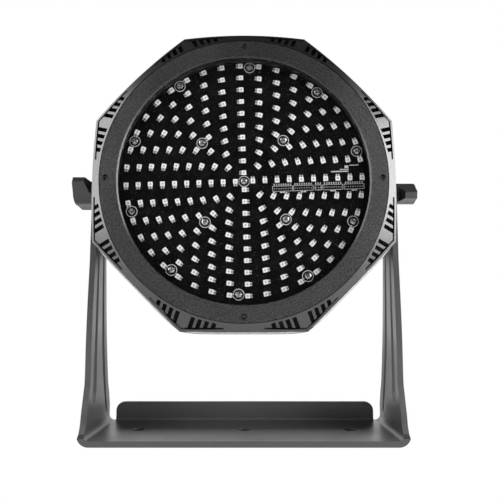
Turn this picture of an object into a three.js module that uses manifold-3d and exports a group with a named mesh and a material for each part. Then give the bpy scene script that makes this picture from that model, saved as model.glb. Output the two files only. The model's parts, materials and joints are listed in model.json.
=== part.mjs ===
// An LED par can light: an octagonal lamp head that tilts in a bent floor yoke.
// Millimetres, +Z up. The origin is the middle of the yoke's underside, and the lamp shines towards -Y.
// Inside the head group, y runs along the beam axis (front is negative) from the tilt axis.

import * as THREE from "three";
import { mergeVertices } from "three/addons/utils/BufferGeometryUtils.js";
import Module from "manifold-3d";

const wasm = await Module();
wasm.setup();

// ---------------------------------------------------------------- driving dimensions

const GAP = 0.3; // clearance between pieces that touch
const TILT = THREE.MathUtils.degToRad(-2.2); // the head looks up a little at rest
const PIVOT_Z = 261;

// Yoke
const ARM_INNER_X = 157.3;
const PLATE = 6;
const ARM_OUTER_X = ARM_INNER_X + PLATE;
const BEND_RADIUS = 12;
const BASE_HALF_DEPTH = 56;
const CLAMP_HOLE_RADIUS = 7;
const CLAMP_HOLE_PITCH = 113;
const ARM_TOP_RADIUS = 22;
const LIP_HALF_WIDTH = 148.7;
const LIP_TOP_Z = 27;
const LIP_CORNER = 10;
const LIP_PLATE = 4;

// Head outline, measured across the flats of an octagon
const HEAD_FLATS = 306.8;
const SIDE_BOW = 2.4; // how far the housing's sides swell between their corners
const HEAD_RISE = 2; // height of the beam axis above the tilt axis
const COVER_WALL = 2;
const HOUSING_WALL = 2.2;

// Places along the beam axis
const BEZEL_FRONT = -65;
const BEZEL_BACK = -54.3;
const COVER_FRONT = -63.6;
const COVER_BACK = -44;
const BOARD_FRONT = -48;
const BOARD_THICKNESS = 1.6;
const SINK_FRONT = BOARD_FRONT + BOARD_THICKNESS + GAP;
const SINK_PLATE = 4.1;
const FIN_END = -12;
const HOUSING_FRONT = COVER_BACK + GAP;
const HOUSING_BACK = 30;
const REAR_RIM = HOUSING_BACK + GAP;
const REAR_FACE = 55;
const REAR_WALL = 2.4;
const REAR_INSIDE = REAR_FACE - REAR_WALL;
const ON_REAR = REAR_FACE + GAP;

// Round front parts
const RING_STEPS = 48;
const BEZEL_OUTER = 145.3;
const BEZEL_OPENING = 125.9;
const BEZEL_SCREW_CIRCLE = 139.3;
const WINDOW_RADIUS = 133.5;
const SEAT_RADIUS = BEZEL_OUTER + GAP;
const LAND_RADIUS = 147;
const CONE_SLOPE = 0.63; // fall of the cover's face per mm of radius, outside the land

// Vents around each corner of the front cover
const VENT_WIDTH = 4.2;
const VENT_PITCH = 7.1;
const VENT_FIRST = 8;
const VENTS_PER_FLANK = 4;
const VENT_DEPTH = 24;

// LED board
const BOARD_RADIUS = 128;
const BOARD_TURN = THREE.MathUtils.degToRad(1.9);
const LED_RINGS = 10;
const LED_FIRST_RADIUS = 9;
const LED_RING_PITCH = 12.5;
const LED_SIZE = [5, 1.6, 5.4]; // radial, height, tangential
const BOARD_SCREW_RINGS = [
  { radius: 0, count: 1, start: 0 },
  { radius: 59, count: 4, start: 45.1 },
  { radius: 120, count: 10, start: 13.5 },
];
const SCREW_CLEARANCE = 1.8;

// Wing knobs
const KNOB_REACH = 25;
const KNOB_HUB = 11.5;
const KNOB_TIP_HALF = 3.75;
const KNOB_INNER_X = ARM_OUTER_X + 2.2;
const KNOB_OUTER_X = 187;
const STUD_RADIUS = 4;
const KNOB_TURN = { left: 28, right: -13 }; // degrees that the front wing points above the horizon

// Rear face
const REAR_FLAT_HALF = 118;
const FAN_Z = 45;
const FAN_SIZE = 92;
const FAN_BORE = 42.5;
const BUTTON_Z = -52;
const BUTTON_PITCH = 17;
const DISPLAY_Z = -28;
const DISPLAY_SIZE = [40, 20];
const SOCKET_Z = -79;
const SOCKET_X = [-58, -29, 29, 58];
const SOCKET_REACH = 73.2;
const FUSE_X = 0;
const POST_X = 92;
const POST_Z = 58;

// Finishes: colour, roughness, metalness
const BLACK_COAT = [0x35363a, 0.6, 0.3];
const BEZEL_COAT = [0x55565a, 0.65, 0.3];
const YOKE_COAT = [0x6e7074, 0.5, 0.4];
const SOLDER_MASK = [0x141518, 0.35, 0.0];
const CLEAR = [0xdfe6ea, 0.05, 0.0];
const RUBBER = [0x1b1b1d, 0.85, 0.0];
const ALUMINIUM = [0xb4b6ba, 0.4, 0.8];
const STEEL = [0x9a9ca0, 0.35, 0.9];
const BLACK_SCREW = [0x26272a, 0.4, 0.7];
const BLACK_PLASTIC = [0x1c1d20, 0.5, 0.0];
const NYLON = [0xd8d8d2, 0.5, 0.0];
const GREEN_BOARD = [0x1f5a36, 0.5, 0.0];
const SOCKET_BLUE = [0x2f5f9e, 0.45, 0.0];
const SOCKET_GREY = [0x8b8f94, 0.45, 0.0];
const BUTTON_GREY = [0x77797d, 0.5, 0.0];

// ---------------------------------------------------------------- geometry helpers

function signedVolume(positions, index) {
  const corners = [new THREE.Vector3(), new THREE.Vector3(), new THREE.Vector3()];
  let total = 0;
  for (let i = 0; i < index.length; i += 3) {
    corners.forEach((corner, k) => corner.fromArray(positions, index[i + k] * 3));
    total += corners[0].dot(corners[1].cross(corners[2]));
  }
  return total / 6;
}

// A closed geometry as a solid whose faces point out, whichever way its profile was drawn.
function solidOf(geometry) {
  const loose = geometry.index ? geometry.toNonIndexed() : geometry;
  const bare = new THREE.BufferGeometry();
  bare.setAttribute("position", loose.getAttribute("position"));
  const merged = mergeVertices(bare, 1e-4);
  const vertProperties = new Float32Array(merged.attributes.position.array);
  const triVerts = new Uint32Array(merged.index.array);
  if (signedVolume(vertProperties, triVerts) < 0) triVerts.reverse();
  return new wasm.Manifold(new wasm.Mesh({ numProp: 3, vertProperties, triVerts }));
}

function geometryOf(solid) {
  const { vertProperties, triVerts } = solid.getMesh();
  const geometry = new THREE.BufferGeometry();
  geometry.setAttribute("position", new THREE.Float32BufferAttribute(vertProperties, 3));
  geometry.setIndex(new THREE.Uint32BufferAttribute(triVerts, 1));
  const flat = geometry.toNonIndexed();
  flat.computeVertexNormals();
  return flat;
}

const joined = (solids) => solids.reduce((whole, next) => whole.add(next));
const without = (solid, cuts) => cuts.reduce((left, cut) => left.subtract(cut), solid);
const polar = (radius, angle) => [radius * Math.cos(angle), radius * Math.sin(angle)];

const shapeOf = (points) => new THREE.Shape(points.map(([u, v]) => new THREE.Vector2(u, v)));

const extruded = (shape, depth) => new THREE.ExtrudeGeometry(shape, { depth, bevelEnabled: false });

// A plate whose outline is drawn in (x, z), from yFront back to yBack.
function plateAlongY(shape, yFront, yBack) {
  return solidOf(extruded(shape, yBack - yFront).rotateX(Math.PI / 2).translate(0, yBack, 0));
}

// A plate whose outline is drawn in (y, z), from xLow to xHigh.
function plateAlongX(shape, xLow, xHigh) {
  const axes = new THREE.Matrix4().makeBasis(
    new THREE.Vector3(0, 1, 0),
    new THREE.Vector3(0, 0, 1),
    new THREE.Vector3(1, 0, 0),
  );
  return solidOf(extruded(shape, xHigh - xLow).applyMatrix4(axes).translate(xLow, 0, 0));
}

function block([x0, x1], [y0, y1], [z0, z1]) {
  const geometry = new THREE.BoxGeometry(x1 - x0, y1 - y0, z1 - z0);
  return solidOf(geometry.translate((x0 + x1) / 2, (y0 + y1) / 2, (z0 + z1) / 2));
}

function rodAlongY(radius, yFront, yBack, x = 0, z = 0, steps = 12) {
  const geometry = new THREE.CylinderGeometry(radius, radius, yBack - yFront, steps);
  return solidOf(geometry.translate(x, (yFront + yBack) / 2, z));
}

function rodAlongX(radius, xLow, xHigh, steps = 12) {
  const geometry = new THREE.CylinderGeometry(radius, radius, xHigh - xLow, steps).rotateZ(Math.PI / 2);
  return solidOf(geometry.translate((xLow + xHigh) / 2, 0, 0));
}

function rodAlongZ(radius, zLow, zHigh, x, y, steps = 24) {
  const geometry = new THREE.CylinderGeometry(radius, radius, zHigh - zLow, steps).rotateX(Math.PI / 2);
  return solidOf(geometry.translate(x, y, (zLow + zHigh) / 2));
}

// A profile of [radius, y] points turned about the beam axis.
function turned(profile, steps = RING_STEPS, start = 0) {
  const points = profile.map(([radius, y]) => new THREE.Vector2(radius, y));
  return solidOf(new THREE.LatheGeometry(points, steps, start));
}

const closedRing = (profile, steps) => turned([...profile, profile[0]], steps);

function rectangularRing(inner, outer, yFront, yBack, steps = RING_STEPS) {
  const profile = [
    [inner, yFront],
    [outer, yFront],
    [outer, yBack],
    [inner, yBack],
  ];
  return closedRing(profile, steps);
}

// The same with eight flat sides: the profile's first number is half the width across the flats.
function eightSided(profile) {
  const toCorner = 1 / Math.cos(Math.PI / 8);
  return turned(profile.map(([half, y]) => [half * toCorner, y]), 8, Math.PI / 8);
}

function octagonOutline(flats, bow = 0, steps = 1) {
  const half = flats / 2;
  const sideHalf = half * Math.tan(Math.PI / 8);
  const points = [];
  for (let side = 0; side < 8; side++) {
    const normal = (side * Math.PI) / 4;
    for (let step = 0; step < steps; step++) {
      const along = sideHalf * ((2 * step) / steps - 1);
      const out = half + bow * (1 - (along / sideHalf) ** 2);
      const [x, z] = polar(out, normal);
      points.push([x - along * Math.sin(normal), z + along * Math.cos(normal)]);
    }
  }
  return points;
}

const octagonPrism = (flats, bow, yFront, yBack) =>
  plateAlongY(shapeOf(octagonOutline(flats, bow, bow ? 6 : 1)), yFront, yBack);

function arcPoints(centreU, centreV, radius, fromDegrees, toDegrees, steps) {
  return Array.from({ length: steps + 1 }, (_, i) => {
    const angle = THREE.MathUtils.degToRad(fromDegrees + ((toDegrees - fromDegrees) * i) / steps);
    const [u, v] = polar(radius, angle);
    return [centreU + u, centreV + v];
  });
}

function piece(group, name, solid, [color, roughness, metalness]) {
  const material = new THREE.MeshStandardMaterial({ color, roughness, metalness });
  const mesh = new THREE.Mesh(geometryOf(solid), material);
  mesh.name = name;
  group.add(mesh);
  return mesh;
}

// ---------------------------------------------------------------- yoke

// The bent strip seen from the front: two arms and the base, with rounded bends.
function yokeStrip() {
  const top = PIVOT_Z + ARM_TOP_RADIUS + 1;
  const outerCorner = ARM_OUTER_X - BEND_RADIUS;
  const innerBend = BEND_RADIUS - PLATE;
  const innerCorner = ARM_INNER_X - innerBend;
  const outline = [
    [ARM_OUTER_X, top],
    [ARM_INNER_X, top],
    ...arcPoints(innerCorner, PLATE + innerBend, innerBend, 0, -90, 4),
    ...arcPoints(-innerCorner, PLATE + innerBend, innerBend, -90, -180, 4),
    [-ARM_INNER_X, top],
    [-ARM_OUTER_X, top],
    ...arcPoints(-outerCorner, BEND_RADIUS, BEND_RADIUS, -180, -90, 6),
    ...arcPoints(outerCorner, BEND_RADIUS, BEND_RADIUS, -90, 0, 6),
  ];
  return plateAlongY(shapeOf(outline), -BASE_HALF_DEPTH, BASE_HALF_DEPTH);
}

// The arms' outline seen from the side: narrow and round at the tilt axis, flaring to the full base depth.
function yokeSideMask() {
  const frontEdge = [
    [-BASE_HALF_DEPTH, 0],
    [-BASE_HALF_DEPTH, 9],
    [-47.5, 12],
    [-44, 19],
    [-41, 30],
    [-33.5, 51],
    [-31, 60],
    [-30.5, 102],
    [-28, 143],
    [-24, 184],
  ];
  const rearEdge = [
    [24, 184],
    [33, 108],
    [44, 56],
    [51, 39],
    [BASE_HALF_DEPTH, 24],
    [BASE_HALF_DEPTH, 0],
  ];
  const outline = [...frontEdge, ...arcPoints(0, PIVOT_Z, ARM_TOP_RADIUS, 180, 0, 12), ...rearEdge];
  return plateAlongX(shapeOf(outline), -ARM_OUTER_X - 1, ARM_OUTER_X + 1);
}

// Two long lightening slots leave three rails in each arm.
function armSlots() {
  const frontSlot = [
    [-12.5, 230],
    [-9.5, 233],
    [-6.5, 230],
    [-7.5, 101],
    [-6, 43],
    [-9, 38],
    [-15, 36],
    [-21, 43],
    [-17, 101],
  ];
  const rearSlot = [
    [6.5, 230],
    [9.5, 233],
    [12.5, 230],
    [22.5, 101],
    [31, 58],
    [42, 21],
    [40, 16.5],
    [36, 17],
    [21, 58],
    [13, 101],
  ];
  return [frontSlot, rearSlot].map((outline) =>
    plateAlongX(shapeOf(outline), -ARM_OUTER_X - 2, ARM_OUTER_X + 2),
  );
}

function rearLip() {
  const corner = LIP_HALF_WIDTH - LIP_CORNER;
  const outline = [
    [-LIP_HALF_WIDTH, PLATE / 2],
    [LIP_HALF_WIDTH, PLATE / 2],
    ...arcPoints(corner, LIP_TOP_Z - LIP_CORNER, LIP_CORNER, 0, 90, 5),
    ...arcPoints(-corner, LIP_TOP_Z - LIP_CORNER, LIP_CORNER, 90, 180, 5),
  ];
  return plateAlongY(shapeOf(outline), BASE_HALF_DEPTH - LIP_PLATE, BASE_HALF_DEPTH);
}

function yokeSolid() {
  const clampHoles = [-1, 0, 1].map((side) =>
    rodAlongZ(CLAMP_HOLE_RADIUS, -1, PLATE + 1, side * CLAMP_HOLE_PITCH, 0),
  );
  const pivotHole = rodAlongX(STUD_RADIUS + 0.6, -ARM_OUTER_X - 1, ARM_OUTER_X + 1).translate([0, 0, PIVOT_Z]);
  const bent = yokeStrip().intersect(yokeSideMask()).add(rearLip());
  return without(bent, [...clampHoles, pivotHole, ...armSlots()]);
}

// ---------------------------------------------------------------- front of the head

function bezelScrewPlaces() {
  return { right: polar(1, 0), top: polar(1, Math.PI / 2), left: polar(1, Math.PI), bottom: polar(1, -Math.PI / 2) };
}

function bezelSolid() {
  const flangeBack = BEZEL_FRONT + 4;
  const ring = closedRing([
    [BEZEL_OPENING, BEZEL_FRONT + 1.2],
    [BEZEL_OPENING + 1.2, BEZEL_FRONT],
    [BEZEL_OUTER - 1.2, BEZEL_FRONT],
    [BEZEL_OUTER, BEZEL_FRONT + 1.2],
    [BEZEL_OUTER, BEZEL_BACK],
    [WINDOW_RADIUS + GAP, BEZEL_BACK],
    [WINDOW_RADIUS + GAP, flangeBack],
    [BEZEL_OPENING, flangeBack],
  ]);
  const holes = Object.values(bezelScrewPlaces()).flatMap(([x, z]) => {
    const at = [x * BEZEL_SCREW_CIRCLE, z * BEZEL_SCREW_CIRCLE];
    return [
      rodAlongY(3, BEZEL_FRONT - 1, BEZEL_FRONT + 4.5, ...at),
      rodAlongY(SCREW_CLEARANCE, BEZEL_FRONT, BEZEL_BACK + 1, ...at, 8),
    ];
  });
  return without(ring, holes);
}

function bezelScrewSolid([x, z]) {
  const at = [x * BEZEL_SCREW_CIRCLE, z * BEZEL_SCREW_CIRCLE];
  const headFront = BEZEL_FRONT + 1.7;
  const headBack = BEZEL_FRONT + 4.2;
  const socket = rodAlongY(1.3, headFront - 1, headFront + 1.4, ...at, 6);
  const head = rodAlongY(2.6, headFront, headBack, ...at);
  return head.add(rodAlongY(1.5, headBack - 1, BEZEL_BACK + 3, ...at, 8)).subtract(socket);
}

// The cone that the front cover's face follows, at a depth behind its outer surface.
function coneProfile(behind, flatBack) {
  const reach = 22;
  return [
    [0, COVER_FRONT + behind],
    [LAND_RADIUS, COVER_FRONT + behind],
    [LAND_RADIUS + reach, COVER_FRONT + behind + reach * CONE_SLOPE],
    [LAND_RADIUS + reach, flatBack],
    [0, flatBack],
  ];
}

// One row of vents lies on each side of every corner, all parallel to the line from the centre to the corner.
function coverVents() {
  const innerRadius = LAND_RADIUS + 0.9;
  const wallInside = HEAD_FLATS / 2 - COVER_WALL - 0.2;
  const ventMiddle = (COVER_FRONT + COVER_BACK) / 2;
  const vents = [];
  for (let corner = 0; corner < 8; corner++) {
    const cornerAngle = ((corner + 0.5) * Math.PI) / 4;
    for (const flank of [-1, 1]) {
      for (let i = 0; i < VENTS_PER_FLANK; i++) {
        const offset = VENT_FIRST + i * VENT_PITCH;
        const start = Math.sqrt(innerRadius ** 2 - offset ** 2);
        const end = (wallInside - offset * Math.sin(Math.PI / 8)) / Math.cos(Math.PI / 8);
        const geometry = new THREE.BoxGeometry(end - start, VENT_DEPTH, VENT_WIDTH);
        geometry.translate((start + end) / 2, ventMiddle, flank * offset).rotateY(-cornerAngle);
        vents.push(solidOf(geometry));
      }
    }
  }
  return vents;
}

function frontCoverSolid() {
  const face = 2.6;
  const outer = octagonPrism(HEAD_FLATS, 0, COVER_FRONT - 1, COVER_BACK).intersect(
    turned(coneProfile(0, COVER_BACK + 1)),
  );
  const hollowBack = COVER_BACK + 1;
  const hollow = octagonPrism(HEAD_FLATS - 2 * COVER_WALL, 0, COVER_FRONT - 1, hollowBack).intersect(
    turned(coneProfile(face, hollowBack + 1)),
  );
  const flangeBack = BEZEL_BACK + 3.3;
  const flange = rectangularRing(SEAT_RADIUS - 20, LAND_RADIUS, BEZEL_BACK + GAP, flangeBack);
  const seatWall = rectangularRing(SEAT_RADIUS - 1, LAND_RADIUS, COVER_FRONT + 1, flangeBack);
  const bore = turned([
    [0, COVER_FRONT - 2],
    [SEAT_RADIUS, COVER_FRONT - 2],
    [SEAT_RADIUS, BEZEL_BACK + GAP],
    [BEZEL_OPENING + 0.6, BEZEL_BACK + GAP],
    [BEZEL_OPENING + 0.6, COVER_BACK + 2],
    [0, COVER_BACK + 2],
  ]);
  const screwHoles = Object.values(bezelScrewPlaces()).map(([x, z]) =>
    rodAlongY(SCREW_CLEARANCE, BEZEL_BACK - 1, COVER_BACK, x * BEZEL_SCREW_CIRCLE, z * BEZEL_SCREW_CIRCLE, 8),
  );
  return without(joined([outer.subtract(hollow), flange, seatWall]), [bore, joined(coverVents()), ...screwHoles]);
}

function addFront(head) {
  piece(head, "front_cover", frontCoverSolid(), BLACK_COAT);
  piece(head, "bezel_ring", bezelSolid(), BEZEL_COAT);
  Object.entries(bezelScrewPlaces()).forEach(([side, place]) =>
    piece(head, `bezel_screw_${side}`, bezelScrewSolid(place), BLACK_SCREW),
  );
  const windowFront = BEZEL_FRONT + 4 + GAP;
  const windowBack = windowFront + 2.5;
  piece(head, "front_window", rodAlongY(WINDOW_RADIUS, windowFront, windowBack, 0, 0, RING_STEPS), CLEAR);
  const gasket = rectangularRing(BEZEL_OPENING + 1.2, WINDOW_RADIUS, windowBack + GAP, BEZEL_BACK);
  piece(head, "window_gasket", gasket, RUBBER);
}

// ---------------------------------------------------------------- LED board and heat sink

function boardScrewPlaces() {
  return BOARD_SCREW_RINGS.flatMap(({ radius, count, start }) =>
    Array.from({ length: count }, (_, i) => {
      const angle = BOARD_TURN + THREE.MathUtils.degToRad(start + (360 * i) / count);
      return polar(radius, angle);
    }),
  );
}

// Ring k of the board carries 4k LEDs, one of them always on the board's own x axis.
function ledSolids() {
  const [radial, height, tangential] = LED_SIZE;
  const leds = [];
  for (let ring = 1; ring <= LED_RINGS; ring++) {
    const radius = LED_FIRST_RADIUS + (ring - 1) * LED_RING_PITCH;
    const count = 4 * ring;
    for (let i = 0; i < count; i++) {
      const angle = BOARD_TURN + (2 * Math.PI * i) / count;
      const geometry = new THREE.BoxGeometry(radial, 2 * height, tangential);
      leds.push(solidOf(geometry.translate(radius, BOARD_FRONT, 0).rotateY(-angle)));
    }
  }
  return leds;
}

function ledBoardSolid() {
  const back = BOARD_FRONT + BOARD_THICKNESS;
  const disc = rodAlongY(BOARD_RADIUS, BOARD_FRONT, back, 0, 0, RING_STEPS);
  const behind = block([-BOARD_RADIUS, BOARD_RADIUS], [back, back + 5], [-BOARD_RADIUS, BOARD_RADIUS]);
  const holes = boardScrewPlaces().map(([x, z]) =>
    rodAlongY(SCREW_CLEARANCE, BOARD_FRONT - 3, back + 1, x, z, 8),
  );
  return without(disc.add(joined(ledSolids())), [behind, ...holes]);
}

function boardScrewSolid([x, z]) {
  const seat = BOARD_FRONT - GAP;
  const profile = [
    [0, seat - 2.4],
    [2.2, seat - 2.4],
    [3.5, seat - 1],
    [3.5, seat],
    [1.5, seat],
    [1.5, seat + 5.5],
    [0, seat + 5.5],
  ];
  return turned(profile, 10).translate([x, 0, z]);
}

// Plate, parallel fins and four long posts that carry the rear cover's screws, cast in one piece.
function heatSinkSolid() {
  const plateBack = SINK_FRONT + SINK_PLATE;
  const half = HEAD_FLATS / 2 - COVER_WALL - 0.5;
  const plate = octagonPrism(2 * half, 0, SINK_FRONT, plateBack);
  const finPitch = 13;
  const finRadius = 132;
  const fins = [];
  for (let i = -9; i <= 9; i++) {
    const x = i * finPitch;
    const reach = Math.sqrt(finRadius ** 2 - x ** 2);
    fins.push(block([x - 1, x + 1], [plateBack - 1, FIN_END], [-reach, reach]));
  }
  const corners = [-1, 1].flatMap((sideX) => [-1, 1].map((sideZ) => [sideX * POST_X, sideZ * POST_Z]));
  const posts = corners.map(([x, z]) => rodAlongY(4, plateBack - 1, REAR_INSIDE - GAP, x, z, 10));
  const postHoles = corners.map(([x, z]) => rodAlongY(SCREW_CLEARANCE, REAR_INSIDE - 10, REAR_FACE, x, z, 8));
  const boardHoles = boardScrewPlaces().map(([x, z]) =>
    rodAlongY(SCREW_CLEARANCE, SINK_FRONT - 1, SINK_FRONT + SINK_PLATE + 1.5, x, z, 8),
  );
  return without(joined([plate, ...fins, ...posts]), [...postHoles, ...boardHoles]);
}

function addLightEngine(head) {
  piece(head, "led_board", ledBoardSolid(), SOLDER_MASK);
  boardScrewPlaces().forEach((place, i) => {
    piece(head, `board_screw_${String(i + 1).padStart(2, "0")}`, boardScrewSolid(place), BLACK_SCREW);
  });
  piece(head, "heat_sink", heatSinkSolid(), ALUMINIUM);
}

// ---------------------------------------------------------------- housing and tilt pivots

function housingSolid() {
  const innerFlats = HEAD_FLATS - 2 * HOUSING_WALL;
  const ledgeFront = SINK_FRONT + SINK_PLATE + GAP;
  const outer = octagonPrism(HEAD_FLATS, SIDE_BOW, HOUSING_FRONT, HOUSING_BACK);
  const frontSpace = octagonPrism(innerFlats, SIDE_BOW, HOUSING_FRONT - 1, ledgeFront);
  const rearSpace = octagonPrism(innerFlats, SIDE_BOW, ledgeFront + 3, HOUSING_BACK + 1);
  const ledgeOpening = octagonPrism(innerFlats - 14, 0, HOUSING_FRONT - 1, HOUSING_BACK + 1);
  const pivotHole = rodAlongX(9.4, -ARM_INNER_X, ARM_INNER_X, 16).translate([0, 0, -HEAD_RISE]);
  return without(outer, [frontSpace, rearSpace, ledgeOpening, pivotHole]);
}

// A turned profile of [radius, x] points about the tilt axis, on the side that sign names.
function turnedOnPivot(profile, sign, steps = 16) {
  const points = [...profile, profile[0]].map(([radius, x]) => new THREE.Vector2(radius, x));
  return solidOf(new THREE.LatheGeometry(points, steps).rotateZ((-sign * Math.PI) / 2));
}

function pivotBushSolid(sign) {
  const wallInside = HEAD_FLATS / 2 + SIDE_BOW - HOUSING_WALL;
  const profile = [
    [STUD_RADIUS + GAP, 132],
    [9, 132],
    [9, 147],
    [14, 147],
    [14, wallInside - GAP],
    [9, wallInside - GAP],
    [9, 155.9],
    [STUD_RADIUS + GAP, 155.9],
  ];
  return turnedOnPivot(profile, sign);
}

function washerSolid(sign, radius, xInner, xOuter) {
  const bore = STUD_RADIUS + GAP;
  const profile = [
    [bore, xInner],
    [radius, xInner],
    [radius, xOuter],
    [bore, xOuter],
  ];
  return turnedOnPivot(profile, sign);
}

// A two-winged grip: its face-on outline crossed with its outline seen along the wing's thickness.
function knobGripSolid() {
  const quarter = [
    [KNOB_REACH, KNOB_TIP_HALF - 0.8],
    [KNOB_REACH - 0.8, KNOB_TIP_HALF],
    [9.5, 8.9],
    [5, 10.7],
    [0, KNOB_HUB],
  ];
  const upperLeft = quarter.slice(0, -1).reverse().map(([u, v]) => [-u, v]);
  const lower = [...quarter, ...upperLeft].map(([u, v]) => [-u, -v]);
  const faceOn = plateAlongX(shapeOf([...quarter, ...upperLeft, ...lower]), KNOB_INNER_X, KNOB_OUTER_X);
  const thickness = 2 * KNOB_HUB + 2;
  const sideOutline = shapeOf([
    [172.3, -KNOB_REACH],
    [168.5, -12],
    [KNOB_INNER_X - 1, -10],
    [KNOB_INNER_X - 1, 10],
    [168.5, 12],
    [172.3, KNOB_REACH],
    [184.8, KNOB_REACH],
    [185.4, KNOB_REACH - 2],
    [KNOB_OUTER_X, 9],
    [KNOB_OUTER_X, -9],
    [185.4, 2 - KNOB_REACH],
    [184.8, -KNOB_REACH],
  ]);
  const sideOn = solidOf(extruded(sideOutline, thickness).translate(0, 0, -thickness / 2));
  return faceOn.intersect(sideOn).subtract(rodAlongX(STUD_RADIUS + GAP, 160, 178.3));
}

function addPivots(root, head) {
  const grip = knobGripSolid();
  for (const [side, sign] of [
    ["left", -1],
    ["right", 1],
  ]) {
    piece(head, `pivot_bush_${side}`, pivotBushSolid(sign).translate([0, 0, -HEAD_RISE]), STEEL);
    const innerWasher = washerSolid(sign, 12, 156.2, ARM_INNER_X - GAP).translate([0, 0, -HEAD_RISE]);
    piece(head, `friction_washer_${side}`, innerWasher, NYLON);
    const knob = new THREE.Group();
    knob.position.z = PIVOT_Z;
    root.add(knob);
    const outerWasher = washerSolid(sign, 11, ARM_OUTER_X + GAP, KNOB_INNER_X - GAP);
    piece(knob, `clamp_washer_${side}`, outerWasher, STEEL);
    const stud = rodAlongX(STUD_RADIUS, 136, 178);
    piece(knob, `knob_stud_${side}`, sign > 0 ? stud : stud.mirror([1, 0, 0]), STEEL);
    const mesh = piece(knob, `knob_grip_${side}`, sign > 0 ? grip : grip.mirror([1, 0, 0]), BLACK_PLASTIC);
    mesh.rotation.x = -THREE.MathUtils.degToRad(KNOB_TURN[side]);
  }
}

// ---------------------------------------------------------------- rear of the head

function rearCoverSolid() {
  const dish = eightSided([
    [0, REAR_FACE],
    [REAR_FLAT_HALF, REAR_FACE],
    [HEAD_FLATS / 2, REAR_RIM + 4],
    [HEAD_FLATS / 2, REAR_RIM],
    [HEAD_FLATS / 2 - REAR_WALL, REAR_RIM],
    [HEAD_FLATS / 2 - REAR_WALL, REAR_RIM + 3],
    [REAR_FLAT_HALF - 1, REAR_INSIDE],
    [0, REAR_INSIDE],
  ]);
  const through = [REAR_INSIDE - 2, REAR_FACE + 1];
  const round = (radius, x, z, steps) => rodAlongY(radius, ...through, x, z, steps);
  const [displayWidth, displayHeight] = DISPLAY_SIZE;
  const displayHole = block(
    [-displayWidth / 2, displayWidth / 2],
    through,
    [DISPLAY_Z - displayHeight / 2, DISPLAY_Z + displayHeight / 2],
  );
  const buttonHoles = buttonPlaces().map((x) => round(4.8, x, BUTTON_Z, 12));
  const socketHoles = SOCKET_X.map((x) => round(10.6, x, SOCKET_Z, 20));
  const screwHoles = [-1, 1].flatMap((sideX) =>
    [-1, 1].map((sideZ) => round(SCREW_CLEARANCE, sideX * POST_X, sideZ * POST_Z, 8)),
  );
  return without(dish, [
    round(FAN_BORE, 0, FAN_Z, 32),
    displayHole,
    round(7.1, FUSE_X, SOCKET_Z, 16),
    ...buttonHoles,
    ...socketHoles,
    ...screwHoles,
    ...slopeVents(),
  ]);
}

// Three vents cross the sloping rim on six of the cover's sides: all but the top and the bottom.
function slopeVents() {
  const vents = [];
  for (const side of [0, 1, 3, 4, 5, 7]) {
    for (const step of [-1, 0, 1]) {
      const geometry = new THREE.BoxGeometry(5, 20, 62);
      geometry.translate(135.5 + step * 10, 44 - step * 6, 0).rotateY((-side * Math.PI) / 4);
      vents.push(solidOf(geometry));
    }
  }
  return vents;
}

const buttonPlaces = () => [-1.5, -0.5, 0.5, 1.5].map((step) => step * BUTTON_PITCH);

function buttonSolid(x) {
  const profile = [
    [0, REAR_INSIDE - 3.1],
    [5.8, REAR_INSIDE - 3.1],
    [5.8, REAR_INSIDE - 0.4],
    [4.4, REAR_INSIDE - 0.4],
    [4.4, REAR_FACE + 2],
    [3.8, REAR_FACE + 2.6],
    [0, REAR_FACE + 2.6],
  ];
  return turned(profile, 12).translate([x, 0, BUTTON_Z]);
}

function displayWindowSolid() {
  const [width, height] = DISPLAY_SIZE;
  const centred = (size) => [-size / 2, size / 2];
  const atDisplay = (size) => centred(size).map((z) => z + DISPLAY_Z);
  const pane = block(centred(width - 2 * GAP), [REAR_INSIDE - 1.5, REAR_FACE + 0.4], atDisplay(height - 2 * GAP));
  const flange = block(centred(width + 5), [REAR_INSIDE - 1.5, REAR_INSIDE - GAP], atDisplay(height + 5));
  return pane.add(flange);
}

function controlBoardSolid() {
  const boardBack = 44;
  const board = block([-48, 48], [boardBack - 1.6, boardBack], [BUTTON_Z - 9, DISPLAY_Z + 15]);
  const screen = block([-17, 17], [boardBack - 0.5, boardBack + 5], [DISPLAY_Z - 8, DISPLAY_Z + 8]);
  const switches = buttonPlaces().map((x) =>
    block([x - 3, x + 3], [boardBack - 0.5, boardBack + 3.8], [BUTTON_Z - 3, BUTTON_Z + 3]),
  );
  return joined([board, screen, ...switches]);
}

const socketFlange = (x) => block([x - 13, x + 13], [ON_REAR, ON_REAR + 2], [SOCKET_Z - 13, SOCKET_Z + 13]);

// A mains socket stands out from the rear face and is hollow, with three short contact blades on its floor.
function powerSocketSolid(x) {
  const floor = 58.5;
  const body = rodAlongY(10.2, 34, ON_REAR + 1, x, SOCKET_Z, 20);
  const collar = rodAlongY(11.5, ON_REAR + 1, SOCKET_REACH, x, SOCKET_Z, 20);
  const cavity = rodAlongY(8.6, floor, SOCKET_REACH + 1, x, SOCKET_Z, 20);
  const blades = [0, 1, 2].map((i) => {
    const [u, v] = polar(4.6, Math.PI / 2 + (i * 2 * Math.PI) / 3);
    return block([x + u - 0.8, x + u + 0.8], [floor - 1, floor + 3], [SOCKET_Z + v - 1.5, SOCKET_Z + v + 1.5]);
  });
  return joined([joined([body, socketFlange(x), collar]).subtract(cavity), ...blades]);
}

const signalPinPlaces = () => [90, 210, 330].map((degrees) => polar(4, THREE.MathUtils.degToRad(degrees)));

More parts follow.
